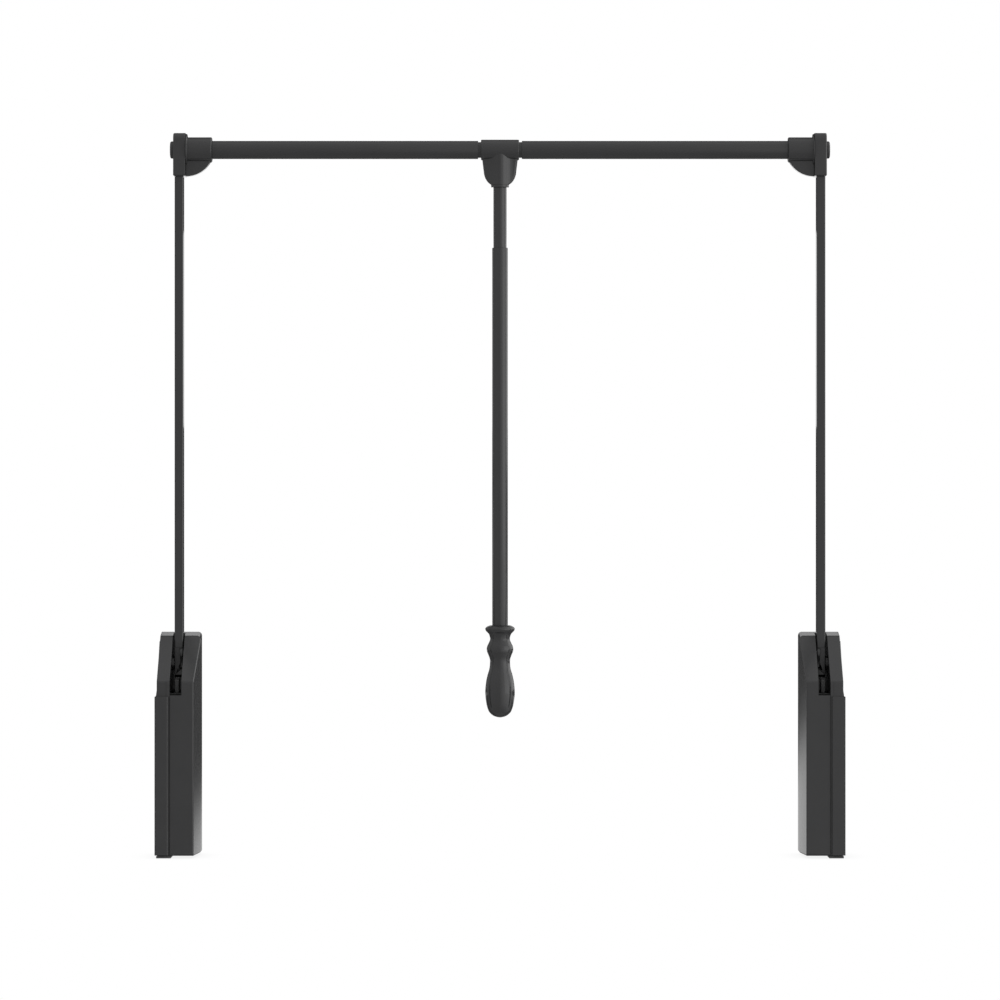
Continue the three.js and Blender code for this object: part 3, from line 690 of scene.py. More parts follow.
def outer_shells():
    low, high = inner_high.x + GAP, outer_high.x

    def skin_edge(a, b, start, end):
        if min(a.x, b.x) < -FACING:
            return PARTING_EDGE
        if max(a.x, b.x) > FACING:
            return OUTER_SIDE_ROUND
        return profile_run(a, b)

    def hollow_edge(a, b, start, end):
        return 0 if max(a.x, b.x) > FACING else TOP_ROUND

    skin = eased(prism(housing_outline(), "x", low, high), skin_edge, 6)
    hollow = eased(prism(housing_outline(WALL), "x", low + WALL, high + REACH), hollow_edge, 4)
    buffer_low, buffer_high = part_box("right_lower_stop_buffer")
    web = low + WALL / 2
    shelf_top = buffer_low.z - GAP
    shelf = block(
        (buffer_low.x - WALL, buffer_low.y, shelf_top - SHELF_HEIGHT),
        (web, buffer_high.y, shelf_top),
    )
    boss = rod(BOSS_RADIUS, arm_high.x + GAP, web, "x", PIVOT, FITTING_EDGE, 64)
    rebate = block(
        (low - REACH, inner_low.y - REACH, strip_low.z - REACH),
        (strip_low.x, inner_low.y + REBATE_DEPTH, strip_high.z),
    )
    groove_side = strip_low.x + GROOVE_PLACE
    groove = block(
        (groove_side, inner_low.y - REACH, strip_high.z - REACH),
        (groove_side + GROOVE_WIDTH, inner_low.y + GROOVE_DEPTH, SLOPE_FOOT),
    )
    lip_back = inner_high.y - WALL - GAP
    lip = block(
        (low - LIP_REACH, lip_back - LIP_WALL, LIP_FOOT),
        (web, lip_back, inner_high.z - LIP_FALL),
    )
    bores = [rod(SHAFT_BORE, arm_low.x, high + REACH, "x", PIVOT, sides=64)]
    for y, z in SCREW_PLACES:
        bores.append(rod(SCREW_BORE, arm_low.x, high + REACH, "x", (0, y, z), sides=32))
    shell = combined(skin, cuts=[hollow])
    shell = combined(shell, joins=[boss, shelf, lip], cuts=[rebate, groove, *bores])
    pair("outer_shell", shell, "black_shell", "housing", flat=True)


def mounting_plates():
    front = inner_low.y + PLATE_FRONT
    shoulder = SLOPE_FOOT - PLATE_STEP
    slant = SLOPE_DEPTH / (SLOPE_HEAD - SLOPE_FOOT) * WALL
    corners = [
        (front, plate_low.z),
        (plate_high.y, plate_low.z),
        (plate_high.y, plate_high.z),
        (plate_high.y - slant, plate_high.z),
        (inner_low.y + PLATE_BEND, shoulder),
        (front, shoulder - PLATE_STEP),
    ]
    inner = outer_high.x + GAP
    outline = fillet(corners, mm(3, 3, 1, 1, 4, 3))
    sheet = eased(prism(outline, "x", inner, plate_high.x), sharp_edges(SHEET_EDGE, 60), 2)
    holes = []
    for y in (front + HOLE_INSET, plate_high.y - HOLE_INSET):
        for z in (plate_low.z + HOLE_INSET, shoulder - HOLE_INSET * 2):
            low, high = inner - REACH, plate_high.x + REACH
            holes.append(rod(PLATE_HOLE, low, high, "x", (0, y, z), sides=48))
    thick = plate_high.x - inner
    middle = (inner_low.y + inner_high.y) / 2
    seat = inner_low.z + WALL + GAP
    back = inner_high.y - WALL - GAP
    root = inner + thick / 2
    tip = inner - HOOK_REACH
    hook_foot = shoulder - 2 * HOOK_HEIGHT
    hooks = [
        block((tip, middle, seat), (root, middle + HOOK_HEIGHT, seat + thick)),
        block((tip, back - thick, hook_foot), (root, back, shoulder - HOOK_HEIGHT)),
    ]
    plate = combined(sheet, joins=hooks, cuts=holes)
    pair("mounting_plate", plate, "black_steel", "housing", flat=True)


def small_housing_pieces():
    face_back = inner_low.y - GAP
    lap = plate_low.x + STRIP_LAP
    outline = [
        (strip_low.x, strip_low.y),
        (strip_high.x, strip_low.y),
        (strip_high.x, strip_high.y),
        (lap, strip_high.y),
        (lap, face_back),
        (strip_low.x, face_back),
    ]

    def strip_edge(a, b, start, end):
        if a.dot(b) > 0.5:
            return 0
        at_side = max(start.x, end.x) < strip_low.x + NEAR
        at_front = max(start.y, end.y) < strip_low.y + NEAR
        return STRIP_CORNER_ROUND if at_side and at_front else STRIP_ROUND

    strip = eased(prism(outline, "z", strip_low.z, strip_high.z), strip_edge, 4)
    pair("cover_strip", strip, "black_shell", "housing", flat=True)
    low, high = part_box("right_bottom_foot")
    outline = fillet(rectangle(low.x, low.z, high.x, high.z), FOOT_ROUND)
    foot = eased(prism(outline, "y", low.y, high.y), sharp_edges(0.6 * MM, 60), 3)
    pair("bottom_foot", foot, "black_rubber", "housing", flat=True)
    for name in ("lower_stop_buffer", "upper_stop_buffer"):
        form = frame["nodes"][f"right_{name}"].data.copy()
        pair(name, eased(form, sharp_edges(BUFFER_ROUND), 3), "black_rubber", "housing", flat=True)


inner_shells()
outer_shells()
mounting_plates()
small_housing_pieces()


# Arm
ARM_WALL = 1.5 * MM
TONGUE = 25 * MM
HUB_RADIUS = 16.5 * MM
LUG_RADIUS = 7 * MM
LUG = 3.6 * MM
LUG_INSET = 0.01 * MM
BUSH_RADIUS = 7.1 * MM
BUSH_WALL = 1.8 * MM
SHAFT_RADIUS = 5 * MM
SHAFT_HEAD = 2.4 * MM
SWIVEL_HEAD = 2.2 * MM
PIN_RADIUS = 4 * MM
CLIP_MOUTH = 3 * MM
BLOCK_STEP = 4 * MM
SCREW_RADIUS = 2 * MM
SCREW_HEAD_RADIUS = 4 * MM
SCREW_HEAD = 2.5 * MM
# The cross in a screw head, as shares of the head's thickness and radius
CROSS_DEPTH = 0.6
CROSS_REACH = 0.62
SPRING_WIRE = 1 * MM
SPRING_TURNS = 27

block_low, block_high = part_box("right_arm_end_block")
pin_low, pin_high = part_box("right_crank_pin")
CRANK = (pin_low + pin_high) / 2


def tongue(low, high):
    """The part of an arm casting that plugs into the tube."""
    shrink = ARM_WALL + GAP
    near = (arm_low.x + shrink, arm_low.y + shrink, low)
    far = (arm_high.x - shrink, arm_high.y - shrink, high)
    return eased(block(near, far), sharp_edges(0.6 * MM), 2)


def arm_tubes():
    low, high = arm_low, arm_high
    corners = rectangle(low.x, low.y, high.x, high.y)
    outside = prism(fillet(corners, 1.3 * MM, 6), "z", low.z, high.z)
    bore = fillet(inset(corners, ARM_WALL), 0.5 * MM, 3)
    tube = combined(outside, cuts=[prism(bore, "z", low.z - REACH, high.z + REACH)])

    def rim(a, b, start, end):
        return 0.25 * MM if max(abs(a.z), abs(b.z)) > FACING else 0

    pair("arm_tube", eased(tube, rim, 2), "black_steel", "arm", flat=True)


def arm_hubs():
    low, high = (corner.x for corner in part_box("right_arm_hub"))
    center = (PIVOT.y, PIVOT.z)
    half = (arm_high.y - arm_low.y) / 2
    turn = acos(half / HUB_RADIUS)
    outline = [(arm_high.y, arm_low.z - GAP), (arm_low.y, arm_low.z - GAP)]
    outline += arc(center, (HUB_RADIUS, HUB_RADIUS), pi + turn, pi - 2 * turn)
    lug = belt(center, BUSH_RADIUS + LUG, (CRANK.y, CRANK.z), LUG_RADIUS)
    lug = prism(lug, "x", low + LUG_INSET, low + LUG)
    body = combined(prism(outline, "x", low, high), joins=[lug])

    def side_edge(a, b, start, end):
        at_side = abs(a.x) > FACING or abs(b.x) > FACING
        return 0.8 * MM if a.dot(b) < 0.5 and at_side else 0

    body = eased(body, side_edge, 3)
    pin_at = (0, CRANK.y, CRANK.z)
    bores = [
        rod(BUSH_RADIUS + GAP, low - REACH, high + REACH, "x", PIVOT),
        rod(PIN_RADIUS + GAP, low - REACH, low + LUG + GAP, "x", pin_at, sides=48),
    ]
    plug = tongue(PIVOT.z, arm_low.z + TONGUE)
    pair("arm_hub", combined(body, joins=[plug], cuts=bores), "black_steel", "arm", flat=True)


def arm_end_blocks():
    foot = arm_high.z + GAP
    front, back = block_low.y + BLOCK_STEP, block_high.y - BLOCK_STEP
    corners = rectangle(front, foot, back, block_high.z)
    outline = fillet(corners, mm(2, 2, 8, 8), 8)
    body = prism(outline, "x", block_low.x, block_high.x)

    def rim(a, b, start, end):
        if a.dot(b) > 0.5:
            return 0
        return 1.5 * MM if max(a.x, b.x) > FACING else 0.4 * MM

    body = eased(body, rim, 5)
    plug = tongue(foot - TONGUE, foot + BLOCK_STEP)
    bore = rod(SHAFT_BORE, block_low.x - REACH, block_high.x + REACH, "x", RAIL_AT)
    pair("arm_end_block", combined(body, joins=[plug], cuts=[bore]), "black_shell", "arm", flat=True)


def headed(radius, tip, head_radius, head, end, axis, at, slot=0.0):
    """A pin or screw with a head at its high end, crossed where slot gives the cross's width."""
    thick = end - head
    ease = min(0.5 * MM, thick * 0.3)
    corners = [(0, tip), (radius, tip), (radius, head)]
    corners += [(head_radius, head), (head_radius, end), (0, end)]
    mesh = lathe(fillet(corners, [0, ease, 0, 0.15 * MM, ease, 0], 4), axis, at, 64)
    if slot <= 0:
        return mesh
    half, arm = slot / 2, head_radius * CROSS_REACH
    place = PLACE[axis]
    at = Vector(at)
    arms = []
    for a, b in ((half, arm), (arm, half)):
        near = Vector(place(-a, -b, end - thick * CROSS_DEPTH))
        far = Vector(place(a, b, end + REACH))
        arms.append(block(at + near, at + far))
    return combined(mesh, cuts=arms)


def headed_pins(name, body, head, at):
    """A steel pin on each side, with its head outside."""
    low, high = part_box(f"right_{name}")
    radius = (high.z - low.z) / 2
    pin = headed(SHAFT_RADIUS, low.x, radius, high.x - head, high.x, "x", at)
    pair(name, pin, "plain_steel", body)


def pivot_pieces():
    headed_pins("pivot_shaft", "housing", SHAFT_HEAD, PIVOT)
    low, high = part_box("right_retaining_clip")
    radius = (high.z - low.z) / 2
    ring = pipe(radius, radius - SHAFT_BORE, low.x, high.x, "x", PIVOT, 0.2 * MM)
    mouth = block(
        (low.x - GAP, PIVOT.y, PIVOT.z - CLIP_MOUTH),
        (high.x + GAP, PIVOT.y + 20 * MM, PIVOT.z + CLIP_MOUTH),
    )
    clip = combined(ring, cuts=[mouth])
    pair("retaining_clip", clip, "plain_steel", "housing")
    low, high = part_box("right_pivot_bush")
    bush = pipe(BUSH_RADIUS, BUSH_WALL, low.x, high.x, "x", PIVOT, 0.3 * MM)
    pair("pivot_bush", bush, "black_nylon", "arm")
    pin_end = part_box("right_arm_hub")[0].x + LUG
    pin = rod(PIN_RADIUS, pin_low.x, pin_end, "x", (0, CRANK.y, CRANK.z), 0.5 * MM, 48)
    pair("crank_pin", pin, "black_steel", "arm")
    headed_pins("swivel_pin", "arm", SWIVEL_HEAD, RAIL_AT)


def lift_pieces():
    center = (plunger_low + plunger_high) / 2
    at = (center.x, center.y, 0)
    radius = (plunger_high.x - plunger_low.x) / 2
    foot, top = plunger_low.z, plunger_high.z
    waist = radius - 0.8 * MM
    corners = [(0, foot), (radius, foot), (radius, foot + 30 * MM), (waist, foot + 31 * MM)]
    corners += [(waist, top - 16 * MM), (radius, top - 15 * MM), (radius, top), (0, top)]
    plunger = lathe(fillet(corners, mm(0, 0.8, 0, 0, 0, 0, 1.2, 0), 5), "z", at)
    pair("plunger", plunger, "black_nylon", "spring_plunger")
    barrel = (canister_high.x - canister_low.x) / 2
    bore = radius + GAP
    floor = canister_low.z + 3 * MM
    corners = [(0, canister_low.z), (barrel, canister_low.z), (barrel, canister_high.z)]
    corners += [(bore, canister_high.z), (bore, floor), (0, floor)]
    canister = lathe(fillet(corners, mm(0, 1.2, 0.4, 0.4, 0.5, 0), 4), "z", at)
    pair("spring_canister", canister, "plain_steel", "housing")
    low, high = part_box("right_lift_spring")
    radius = (high.x - low.x) / 2 - SPRING_WIRE
    spring = coil(radius, SPRING_WIRE, low.z, high.z, SPRING_TURNS, at)
    for side, form in by_side(spring):
        node = f"{side}_lift_spring"
        item = piece(node, form, "plain_steel", f"{side}_housing")
        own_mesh(item)


def shell_screws():
    for name, (y, z) in zip(("upper", "lower"), SCREW_PLACES):
        low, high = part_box(f"right_shell_screw_{name}")
        ends = (low.x, SCREW_HEAD_RADIUS, high.x - SCREW_HEAD, high.x)
        screw = headed(SCREW_RADIUS, *ends, "x", (0, y, z), slot=1 * MM)
        pair(f"shell_screw_{name}", screw, "plain_steel", "housing")


arm_tubes()
arm_hubs()
arm_end_blocks()
pivot_pieces()
lift_pieces()
shell_screws()


# Sockets, tee and pull rod
SOCKET_RADIUS = 15.4 * MM
FLANGE_RADIUS = 19.4 * MM
FLANGE = 1.5 * MM
GUSSET_DEPTH = 13 * MM
GUSSET_RUN = 32.5 * MM
GUSSET_FALL = 30 * MM
LOCK_RADIUS = 1.7 * MM
LOCK_HEAD_RADIUS = 3.5 * MM
LOCK_HEAD = 2.2 * MM
LOCK_SINK = 0.3 * MM
LOCK_CROSS = 0.9 * MM
RAIL_GLIDE_BORE = 8.35 * MM
PULL_GLIDE_BORE = 7 * MM
GLIDE_WALL = 1.5 * MM
GLIDE_FLANGE = 3 * MM
TEE_RADIUS = 12.5 * MM
BOSS = 11.9 * MM
COLLAR_RADIUS = 10.8 * MM
COLLAR = 3.6 * MM
WEB_CORE = 11.6 * MM
WEB_HALF = 5.2 * MM
WEB_FILLET = 15 * MM
WEB_RIM = 2.4 * MM
NECK_BORE = 9.85 * MM
PULL_BORE = 8.3 * MM
PULL_BORE_FALL = 14 * MM
PULL_RADIUS = 9.5 * MM
PULL_WALL = 1.15 * MM
INNER_PULL_RADIUS = 8 * MM
INNER_PULL_WALL = 1 * MM
HANDLE_RADIUS = 17.9 * MM
HANDLE_HOLE_DEPTH = 25 * MM
HANDLE_SLOT_HALF = 0.3 * MM
HANDLE_SLOT_DEPTH = 0.8 * MM

# The curve that ends the web's side edge, each point as (half its width, fall below the rail)
WEB_CURVE = [
    (19.4 * MM, 29.5 * MM),
    (17.6 * MM, 38.5 * MM),
    (COLLAR_RADIUS + 0.2 * MM, 42.4 * MM),
]

# The handle's outline from its foot to its top, as shares of its length and of its radius
HANDLE_SHARES = [
    (0.0, 0.0), (0.006, 0.22), (0.016, 0.4), (0.032, 0.56), (0.065, 0.75), (0.12, 0.88),
    (0.18, 0.955), (0.25, 1.0), (0.32, 0.99), (0.4, 0.93), (0.47, 0.83), (0.53, 0.72),
    (0.59, 0.68), (0.635, 0.695), (0.68, 0.79), (0.715, 0.88), (0.745, 0.9), (0.775, 0.865),
    (0.81, 0.76), (0.845, 0.673), (0.88, 0.7), (0.91, 0.775), (0.935, 0.93), (0.955, 1.0),
    (0.975, 0.97), (0.99, 0.84), (1.0, 0.68),
]


def lock_bore(surface, at):
    """The stepped hole for a screw that comes in from behind."""
    seat = at.y + surface - LOCK_SINK - LOCK_HEAD - GAP
    end = at.y + surface + REACH
    shank = rod(LOCK_RADIUS + GAP, at.y, end, "y", (at.x, 0, at.z), sides=32)
    head = rod(LOCK_HEAD_RADIUS + GAP, seat, end, "y", (at.x, 0, at.z), sides=48)
    return [shank, head]


def lock_screw(node):
    """A screw that comes in from behind, as long as its node."""
    low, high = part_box(node)
    at = ((low.x + high.x) / 2, 0, (low.z + high.z) / 2)
    head = high.y - LOCK_HEAD
    return headed(LOCK_RADIUS, low.y, LOCK_HEAD_RADIUS, head, high.y, "y", at, LOCK_CROSS)


def gusset(low, high):
    """A web under the socket whose lower edge is a quarter of an ellipse, as (x, z)."""
    points = [(high.x, RAIL_AT.z), (high.x - GUSSET_RUN, RAIL_AT.z)]
    bend = (high.x, low.z + GUSSET_FALL)
    points += arc(bend, (GUSSET_RUN, GUSSET_FALL), pi, pi / 2)
    half = GUSSET_DEPTH / 2
    web = prism(points[::-1], "y", RAIL_AT.y - half, RAIL_AT.y + half)
    web = hewn(web, Vector((low.x, 0, 0)), Vector((-1, 0, 0)))

    def rim(a, b, start, end):
        if a.dot(b) > 0.4 or max(abs(a.y), abs(b.y)) < FACING:
            return 0
        return 0.3 * MM if max(a.x, b.x) > FACING else 1.2 * MM

    return eased(web, rim, 4)


def rail_sockets():
    low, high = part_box("right_rail_socket")
    shoulder = high.x - FLANGE
    corners = [(0, low.x), (SOCKET_RADIUS, low.x), (SOCKET_RADIUS, shoulder)]
    corners += [(FLANGE_RADIUS, shoulder), (FLANGE_RADIUS, high.x), (0, high.x)]
    runs = mm(0, 1.5, 0.6, 0.8, 0.3, 0)
    barrel = lathe(fillet(corners, runs, 5), "x", RAIL_AT, 128)
    at = Vector((socket_screw_at.x, RAIL_AT.y, RAIL_AT.z))
    tube_end = rail_box[1].x + GAP
    cuts = [
        rod(RAIL_RADIUS + GAP, low.x - REACH, tube_end, "x", RAIL_AT, sides=128),
        rod(SHAFT_BORE, tube_end - GAP, high.x + REACH, "x", RAIL_AT, sides=64),
        *lock_bore(SOCKET_RADIUS, at),
    ]
    socket = combined(barrel, joins=[gusset(low, high)], cuts=cuts)
    pair("rail_socket", socket, "black_shell", "rail", flat=True)
    screw = lock_screw("right_socket_screw")
    pair("socket_screw", screw, "plain_steel", "rail")


def glide(flange, bore, low, high, axis, at):
    """A plug on a sliding tube's end: a spigot inside the tube and a flange beyond it."""
    spigot = bore - GAP
    hollow = spigot - GLIDE_WALL
    neck = high - GLIDE_FLANGE
    corners = [(hollow, low), (spigot, low), (spigot, neck)]
    corners += [(flange, neck), (flange, high), (hollow, high)]
    ease = mm(0.4, 0.5, 0, 0.4, 0.4, 0.4)
    return lathe(fillet(corners, ease, 3), axis, at, 64, ring=True)


def glides():
    low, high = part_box("right_rail_glide")
    plug = glide((high.z - low.z) / 2, RAIL_GLIDE_BORE, low.x, high.x, "x", RAIL_AT)
    for side, form in by_side(plug):
        piece(f"{side}_rail_glide", form, "black_nylon", "rail_middle")
    low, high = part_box("pull_glide")
    plug = glide((high.x - low.x) / 2, PULL_GLIDE_BORE, -high.z, -low.z, "z", (0, 0, 0))
    plug.transform(Matrix.Scale(-1, 4, (0, 0, 1)))
    plug.flip_normals()
    plug.transform(Matrix.Translation(PULL_AT))
    piece("pull_glide", plug, "black_nylon", "rail_middle")


def web_depth(across, side):
    """Half the web's thickness, at a distance from its middle: a core, a fillet, a thin wing."""
    turn = acos((WEB_HALF + WEB_FILLET) / (WEB_CORE + WEB_FILLET))
    fillet_at = (WEB_CORE + WEB_FILLET) * sin(turn)
    if across < WEB_CORE * sin(turn):
        depth = sqrt(WEB_CORE**2 - across**2)
    elif across < fillet_at:
        depth = WEB_HALF + WEB_FILLET - sqrt(WEB_FILLET**2 - (fillet_at - across) ** 2)
    else:
        depth = WEB_HALF
    rim = min(1.0, (side - across) / WEB_RIM)
    return depth * sqrt(max(0.0, 1 - (1 - rim) ** 2))


def tee_web(half, top):
    """The web under the tee's sleeve, row by row from its top to its foot."""
    start, bend, end = (Vector((across, top - fall)) for across, fall in WEB_CURVE)
    head = Vector((half - 0.1 * MM, top))
    edge = [head.lerp(start, step / 10) for step in range(10)]
    for step in range(17):
        t = step / 16
        edge.append(start * (1 - t) ** 2 + bend * 2 * t * (1 - t) + end * t**2)
    inner = WEB_CORE * 0.8
    verts = []
    for side, z in edge:
        half_row = [inner * step / 14 for step in range(15)]
        for step in range(1, 17):
            half_row.append(inner + (side - inner) * sin(pi / 2 * step / 16))
        row = [-x for x in half_row[:0:-1]] + half_row
        front = [(x, RAIL_AT.y - web_depth(abs(x), side), z) for x in row]
        back = [(x, RAIL_AT.y + web_depth(abs(x), side), z) for x in row[-2:0:-1]]
        verts += front + back
    count = len(verts) // len(edge)
    faces = [tuple(range(count)), tuple(range(len(verts) - count, len(verts)))]
    for row in range(len(edge) - 1):
        for i in range(count):
            a, b = row * count + i, row * count + (i + 1) % count
            faces.append((a, b, b + count, a + count))
    return new_mesh(verts, faces)


def tee():
    """The tee and its screw. Returns where the screw is."""
    low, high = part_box("tee_connector")
    half, top = high.x, RAIL_AT.z
    sleeve = rod(TEE_RADIUS, -half, half, "x", RAIL_AT, 1.0 * MM, 128)
    collar = rod(COLLAR_RADIUS, low.z, low.z + COLLAR, "z", PULL_AT, 0.6 * MM, 128)
    web = tee_web(half, top)
    screw_low, screw_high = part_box("tee_screw")
    screw_at = Vector((0, RAIL_AT.y, (screw_low.z + screw_high.z) / 2))
    cuts = [
        rod(NECK_BORE, -half - REACH, half + REACH, "x", RAIL_AT, sides=128),
        rod(PULL_BORE, low.z - REACH, top - PULL_BORE_FALL, "z", PULL_AT, sides=96),
        *lock_bore(BOSS, screw_at),
    ]
    body = combined(sleeve, joins=[collar, web], cuts=cuts)
    piece("tee_connector", body, "black_shell", "rail_middle", flat=True)
    piece("tee_screw", lock_screw("tee_screw"), "plain_steel", "rail_middle")
    return screw_at


def handle_hole():
    """The form of the hole for the handle's screw."""
    low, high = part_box("handle_screw")
    return back_hole(SCREW_BORE, HANDLE_HOLE_DEPTH, (0, 0, (low.z + high.z) / 2))


def pull_tubes(screw_at):
    low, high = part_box("pull_inner_tube")
    tube = pipe(INNER_PULL_RADIUS, INNER_PULL_WALL, low.z, high.z, "z", PULL_AT, TUBE_EDGE)
    hole = back_hole(LOCK_RADIUS + GAP, LOCK_HOLE_DEPTH, (0, 0, screw_at.z))
    tube = combined(tube, cuts=[hole])
    piece("pull_inner_tube", tube, "black_steel", "rail_middle")
    low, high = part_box("pull_outer_tube")
    tube = pipe(PULL_RADIUS, PULL_WALL, low.z, high.z, "z", PULL_AT, 0.5 * MM)
    tube = combined(tube, cuts=[handle_hole()])
    piece("pull_outer_tube", tube, "black_steel", "pull_rod")


def smooth(points, steps):
    """Points along a uniform Catmull-Rom curve."""
    points = [Vector(point) for point in points]
    padded = [points[0] * 2 - points[1], *points, points[-1] * 2 - points[-2]]
    result = [points[0]]
    for before, a, b, after in zip(padded, padded[1:], padded[2:], padded[3:]):
        for step in range(1, steps + 1):
            t = step / steps
            lean_a, lean_b = (b - before) / 2, (after - a) / 2
            cube, square = t**3, t**2
            point = a * (2 * cube - 3 * square + 1) + lean_a * (cube - 2 * square + t)
            point += b * (3 * square - 2 * cube) + lean_b * (cube - square)
            result.append(point)
    return result


def handle():
    low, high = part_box("handle")
    length = high.z - low.z
    profile = [(0, low.z)]
    for along, across in smooth(HANDLE_SHARES, 5)[1:]:
        profile.append((max(0, across) * HANDLE_RADIUS, low.z + along * length))
    profile.append((0, high.z))
    grip = lathe(profile, "z", PULL_AT, 128)
    tube_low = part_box("pull_outer_tube")[0].z
    bore = rod(PULL_RADIUS + GAP, tube_low - GAP, high.z + REACH, "z", PULL_AT)
    grip = combined(grip, cuts=[bore, handle_hole()])
    piece("handle", grip, "black_handle", "pull_rod")
    low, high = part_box("handle_screw")
    at = (0, 0, (low.z + high.z) / 2)
    screw = rod(2 * MM, low.y, high.y, "y", at, 0.3 * MM, 48)
    slot = block(
        (-HANDLE_SLOT_HALF, high.y - HANDLE_SLOT_DEPTH, at[2] - REACH),
        (HANDLE_SLOT_HALF, high.y + REACH, at[2] + REACH),
    )
    screw = combined(screw, cuts=[slot])
    piece("handle_screw", screw, "plain_steel", "pull_rod")


rail_sockets()
glides()
pull_tubes(tee())
handle()


# Camera, light and floor
def add_camera():
    data = bpy.data.cameras.new("camera")
    data.lens = CAMERA_LENS
    data.clip_end = 100
    camera = placed("camera", data)
    camera.location = (0, inner_low.y - CAMERA_DISTANCE, CAMERA_HEIGHT)
    camera.rotation_euler = (radians(90), 0, 0)
    bpy.context.scene.camera = camera


def ramp(graph, factor, stops):
    """A colour ramp of greys, each stop a (place, value)."""
    node = graph.add("ShaderNodeValToRGB", {"Fac": factor})
    elements = node.color_ramp.elements
    while len(elements) < len(stops):
        elements.new(0.5)
    for element, (place, value) in zip(elements, stops):
        element.position = place
        element.color = (value, value, value, 1)
    return node.outputs["Color"]


def counted(graph, operation, a, b):
    """A Math node whose inputs are sockets or numbers."""
    return graph.add("ShaderNodeMath", {0: a, 1: b}, operation=operation).outputs["Value"]


def blended(graph, factor, a, b):
    """A mix of two sockets or numbers."""
    inputs = {"Factor": factor, "A": a, "B": b}
    return graph.add("ShaderNodeMix", inputs, data_type="FLOAT").outputs["Result"]


def between(graph, value, start, stop, low=0.0, high=1.0):
    """Goes smoothly from low to high while value goes from start to stop."""
    limits = {"Value": value, "From Min": start, "From Max": stop, "To Min": low, "To Max": high}
    node = graph.add("ShaderNodeMapRange", limits, interpolation_type="SMOOTHSTEP")
    return node.outputs["Result"]


def for_camera(graph, seen, lit):
    """One shader for what the camera sees, and another for all other rays."""
    camera_ray = graph.add("ShaderNodeLightPath").outputs["Is Camera Ray"]
    inputs = {"Fac": camera_ray, 1: lit.outputs[0], 2: seen.outputs[0]}
    return graph.add("ShaderNodeMixShader", inputs).outputs["Shader"]


# Brightness round the horizon, from the back past the left, the front and the right to the back
ROUND = [
    (0.0, 0.07), (0.07, 0.07), (0.12, 0.45), (0.165, 0.65), (0.25, 0.68), (0.38, 0.7),
    (0.46, 0.6), (0.49, 0.6), (0.52, 0.8), (0.54, 1.05), (0.6, 1.5), (0.667, 1.8),
    (0.76, 2.0), (0.84, 2.0), (0.89, 1.3), (0.94, 0.07),
]
# Brightness below the horizon at the back, by how far down it is
BELOW = [
    (0.0, 0.07), (0.054, 0.07), (0.066, 0.85), (0.105, 0.85), (0.14, 0.12), (0.35, 0.15),
    (0.75, 0.15), (0.95, 0.35), (1.0, 0.5),
]
# How much lower that pattern lies towards the right
BAND_TILT = 0.039
# Brightness overhead. Towards the back the horizon's brightness gives way to it higher up:
# the power of the height goes from the first to the second.
OVERHEAD = 0.87
LEANS = (1.0, 6.0)
LEAN_DEPTHS = (-0.2, 0.4)
# Brightness straight below at the front, and the heights between which the horizon's gives way
UNDER_FRONT = 0.5
UNDER_HEIGHTS = (-0.02, -0.9)
# The depths between which the light below goes from the front's to the back's
BACK_DEPTHS = (-0.1, 0.6)
HORIZON_HALF = 0.0005
WHITE = (1, 1, 1, 1)


def add_world():
    """White for the camera. The part reflects a dark back, a bright right and a softer left."""
    world = bpy.data.worlds.new("studio")
    bpy.context.scene.world = world
    world.use_nodes = True
    graph = Graph(world.node_tree)
    place = graph.add("ShaderNodeTexCoord").outputs["Generated"]
    parts = graph.add("ShaderNodeSeparateXYZ", {"Vector": place}).outputs
    x, y, z = (parts[name] for name in "XYZ")
    turn = counted(graph, "ARCTAN2", x, counted(graph, "MULTIPLY", y, -1.0))
    share = counted(graph, "ADD", counted(graph, "DIVIDE", turn, 2 * pi), 0.5)
    level = ramp(graph, share, ROUND)
    lean = between(graph, y, *LEAN_DEPTHS, *LEANS)
    rise = counted(graph, "POWER", counted(graph, "MAXIMUM", z, 0.0), lean)
    upper = blended(graph, rise, level, OVERHEAD)
    sunk = counted(graph, "MULTIPLY", z, -1.0)
    drop = counted(graph, "SUBTRACT", sunk, counted(graph, "MULTIPLY", x, BAND_TILT))
    under_back = ramp(graph, drop, BELOW)
    under_front = blended(graph, between(graph, z, *UNDER_HEIGHTS), level, UNDER_FRONT)
    lower = blended(graph, between(graph, y, *BACK_DEPTHS), under_front, under_back)
    whole = blended(graph, between(graph, z, HORIZON_HALF, -HORIZON_HALF), upper, lower)
    seen = graph.add("ShaderNodeBackground", {"Color": WHITE, "Strength": 1.0})
    lit = graph.add("ShaderNodeBackground", {"Strength": whole})
    graph.add("ShaderNodeOutputWorld", {"Surface": for_camera(graph, seen, lit)})


FLOOR_HALF = 60
FLOOR_DROP = 0.0002
FLOOR_LIGHT = 0.5
SHADE = 0.12
SHADE_REACH = 0.04


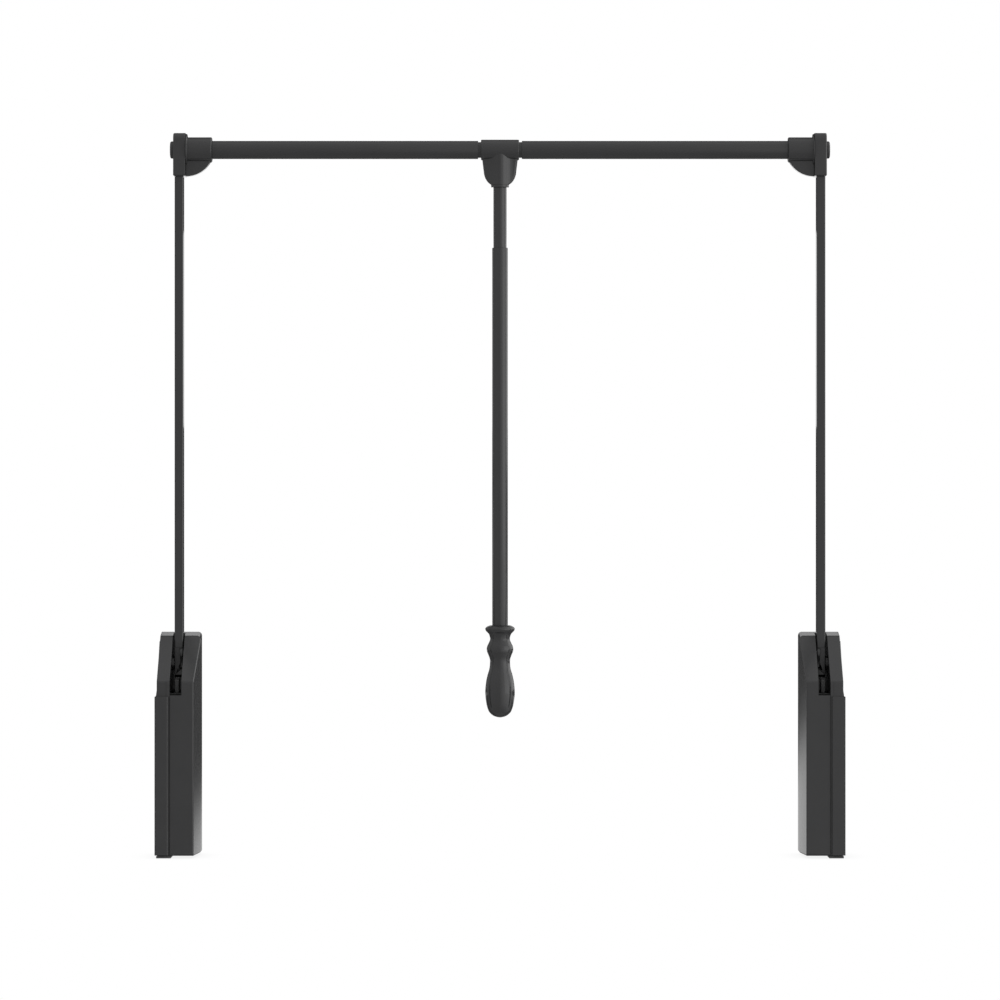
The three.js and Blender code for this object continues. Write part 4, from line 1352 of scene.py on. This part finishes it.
def add_floor():
    """White, with a faint shade where the part stands."""
    corners = rectangle(-FLOOR_HALF, -FLOOR_HALF, FLOOR_HALF, FLOOR_HALF)
    mesh = new_mesh([(x, y, 0) for x, y in corners], [(0, 1, 2, 3)])
    floor = placed("floor", mesh)
    floor.location.z = -FLOOR_DROP
    material = bpy.data.materials.new("floor")
    material.use_nodes = True
    graph = Graph(material.node_tree)
    lit = graph.add("ShaderNodeEmission", {"Color": WHITE, "Strength": FLOOR_LIGHT})
    open_sky = graph.add("ShaderNodeAmbientOcclusion", {"Distance": SHADE_REACH}, samples=16)
    shade = between(graph, open_sky.outputs["AO"], 0.0, 1.0, 1 - SHADE, 1.0)
    seen = graph.add("ShaderNodeEmission", {"Color": WHITE, "Strength": shade})
    graph.add("ShaderNodeOutputMaterial", {"Surface": for_camera(graph, seen, lit)})
    mesh.materials.append(material)
    floor.visible_glossy = False


# Lights, with sizes in metres. KEY_TURN is in degrees to the right of the camera's side.
KEY_TURN = 58
KEY_AWAY = 3.2
KEY_HEIGHT = 1.3
KEY_SIZE = (2.1, 2.6)
KEY_RADIANCE = 0.45
CARD_PLACE = (0, 1.05, 0.675)
CARD_SIZE = (1.0, 0.28)
CARD_RADIANCE = 0.72


def area_light(name, place, rotation, size, radiance):
    """A rectangular light that the camera doesn't see."""
    data = bpy.data.lights.new(name, "AREA")
    data.shape = "RECTANGLE"
    data.size, data.size_y = size
    data.energy = radiance * pi * size[0] * size[1]
    light = placed(name, data)
    light.location = place
    light.rotation_euler = rotation
    light.visible_camera = False


def add_lights():
    """A softbox in front of the part, and a lit board behind it that faces the camera's side."""
    angle = radians(KEY_TURN)
    place = Vector((KEY_AWAY * sin(angle), -KEY_AWAY * cos(angle), KEY_HEIGHT))
    facing = (Vector((0, 0, KEY_HEIGHT)) - place).to_track_quat("-Z", "Y").to_euler()
    area_light("key", place, facing, KEY_SIZE, KEY_RADIANCE)
    area_light("card", CARD_PLACE, (-pi / 2, 0, 0), CARD_SIZE, CARD_RADIANCE)


add_camera()
bpy.context.scene.view_settings.view_transform = "Standard"
add_world()
add_floor()
add_lights()
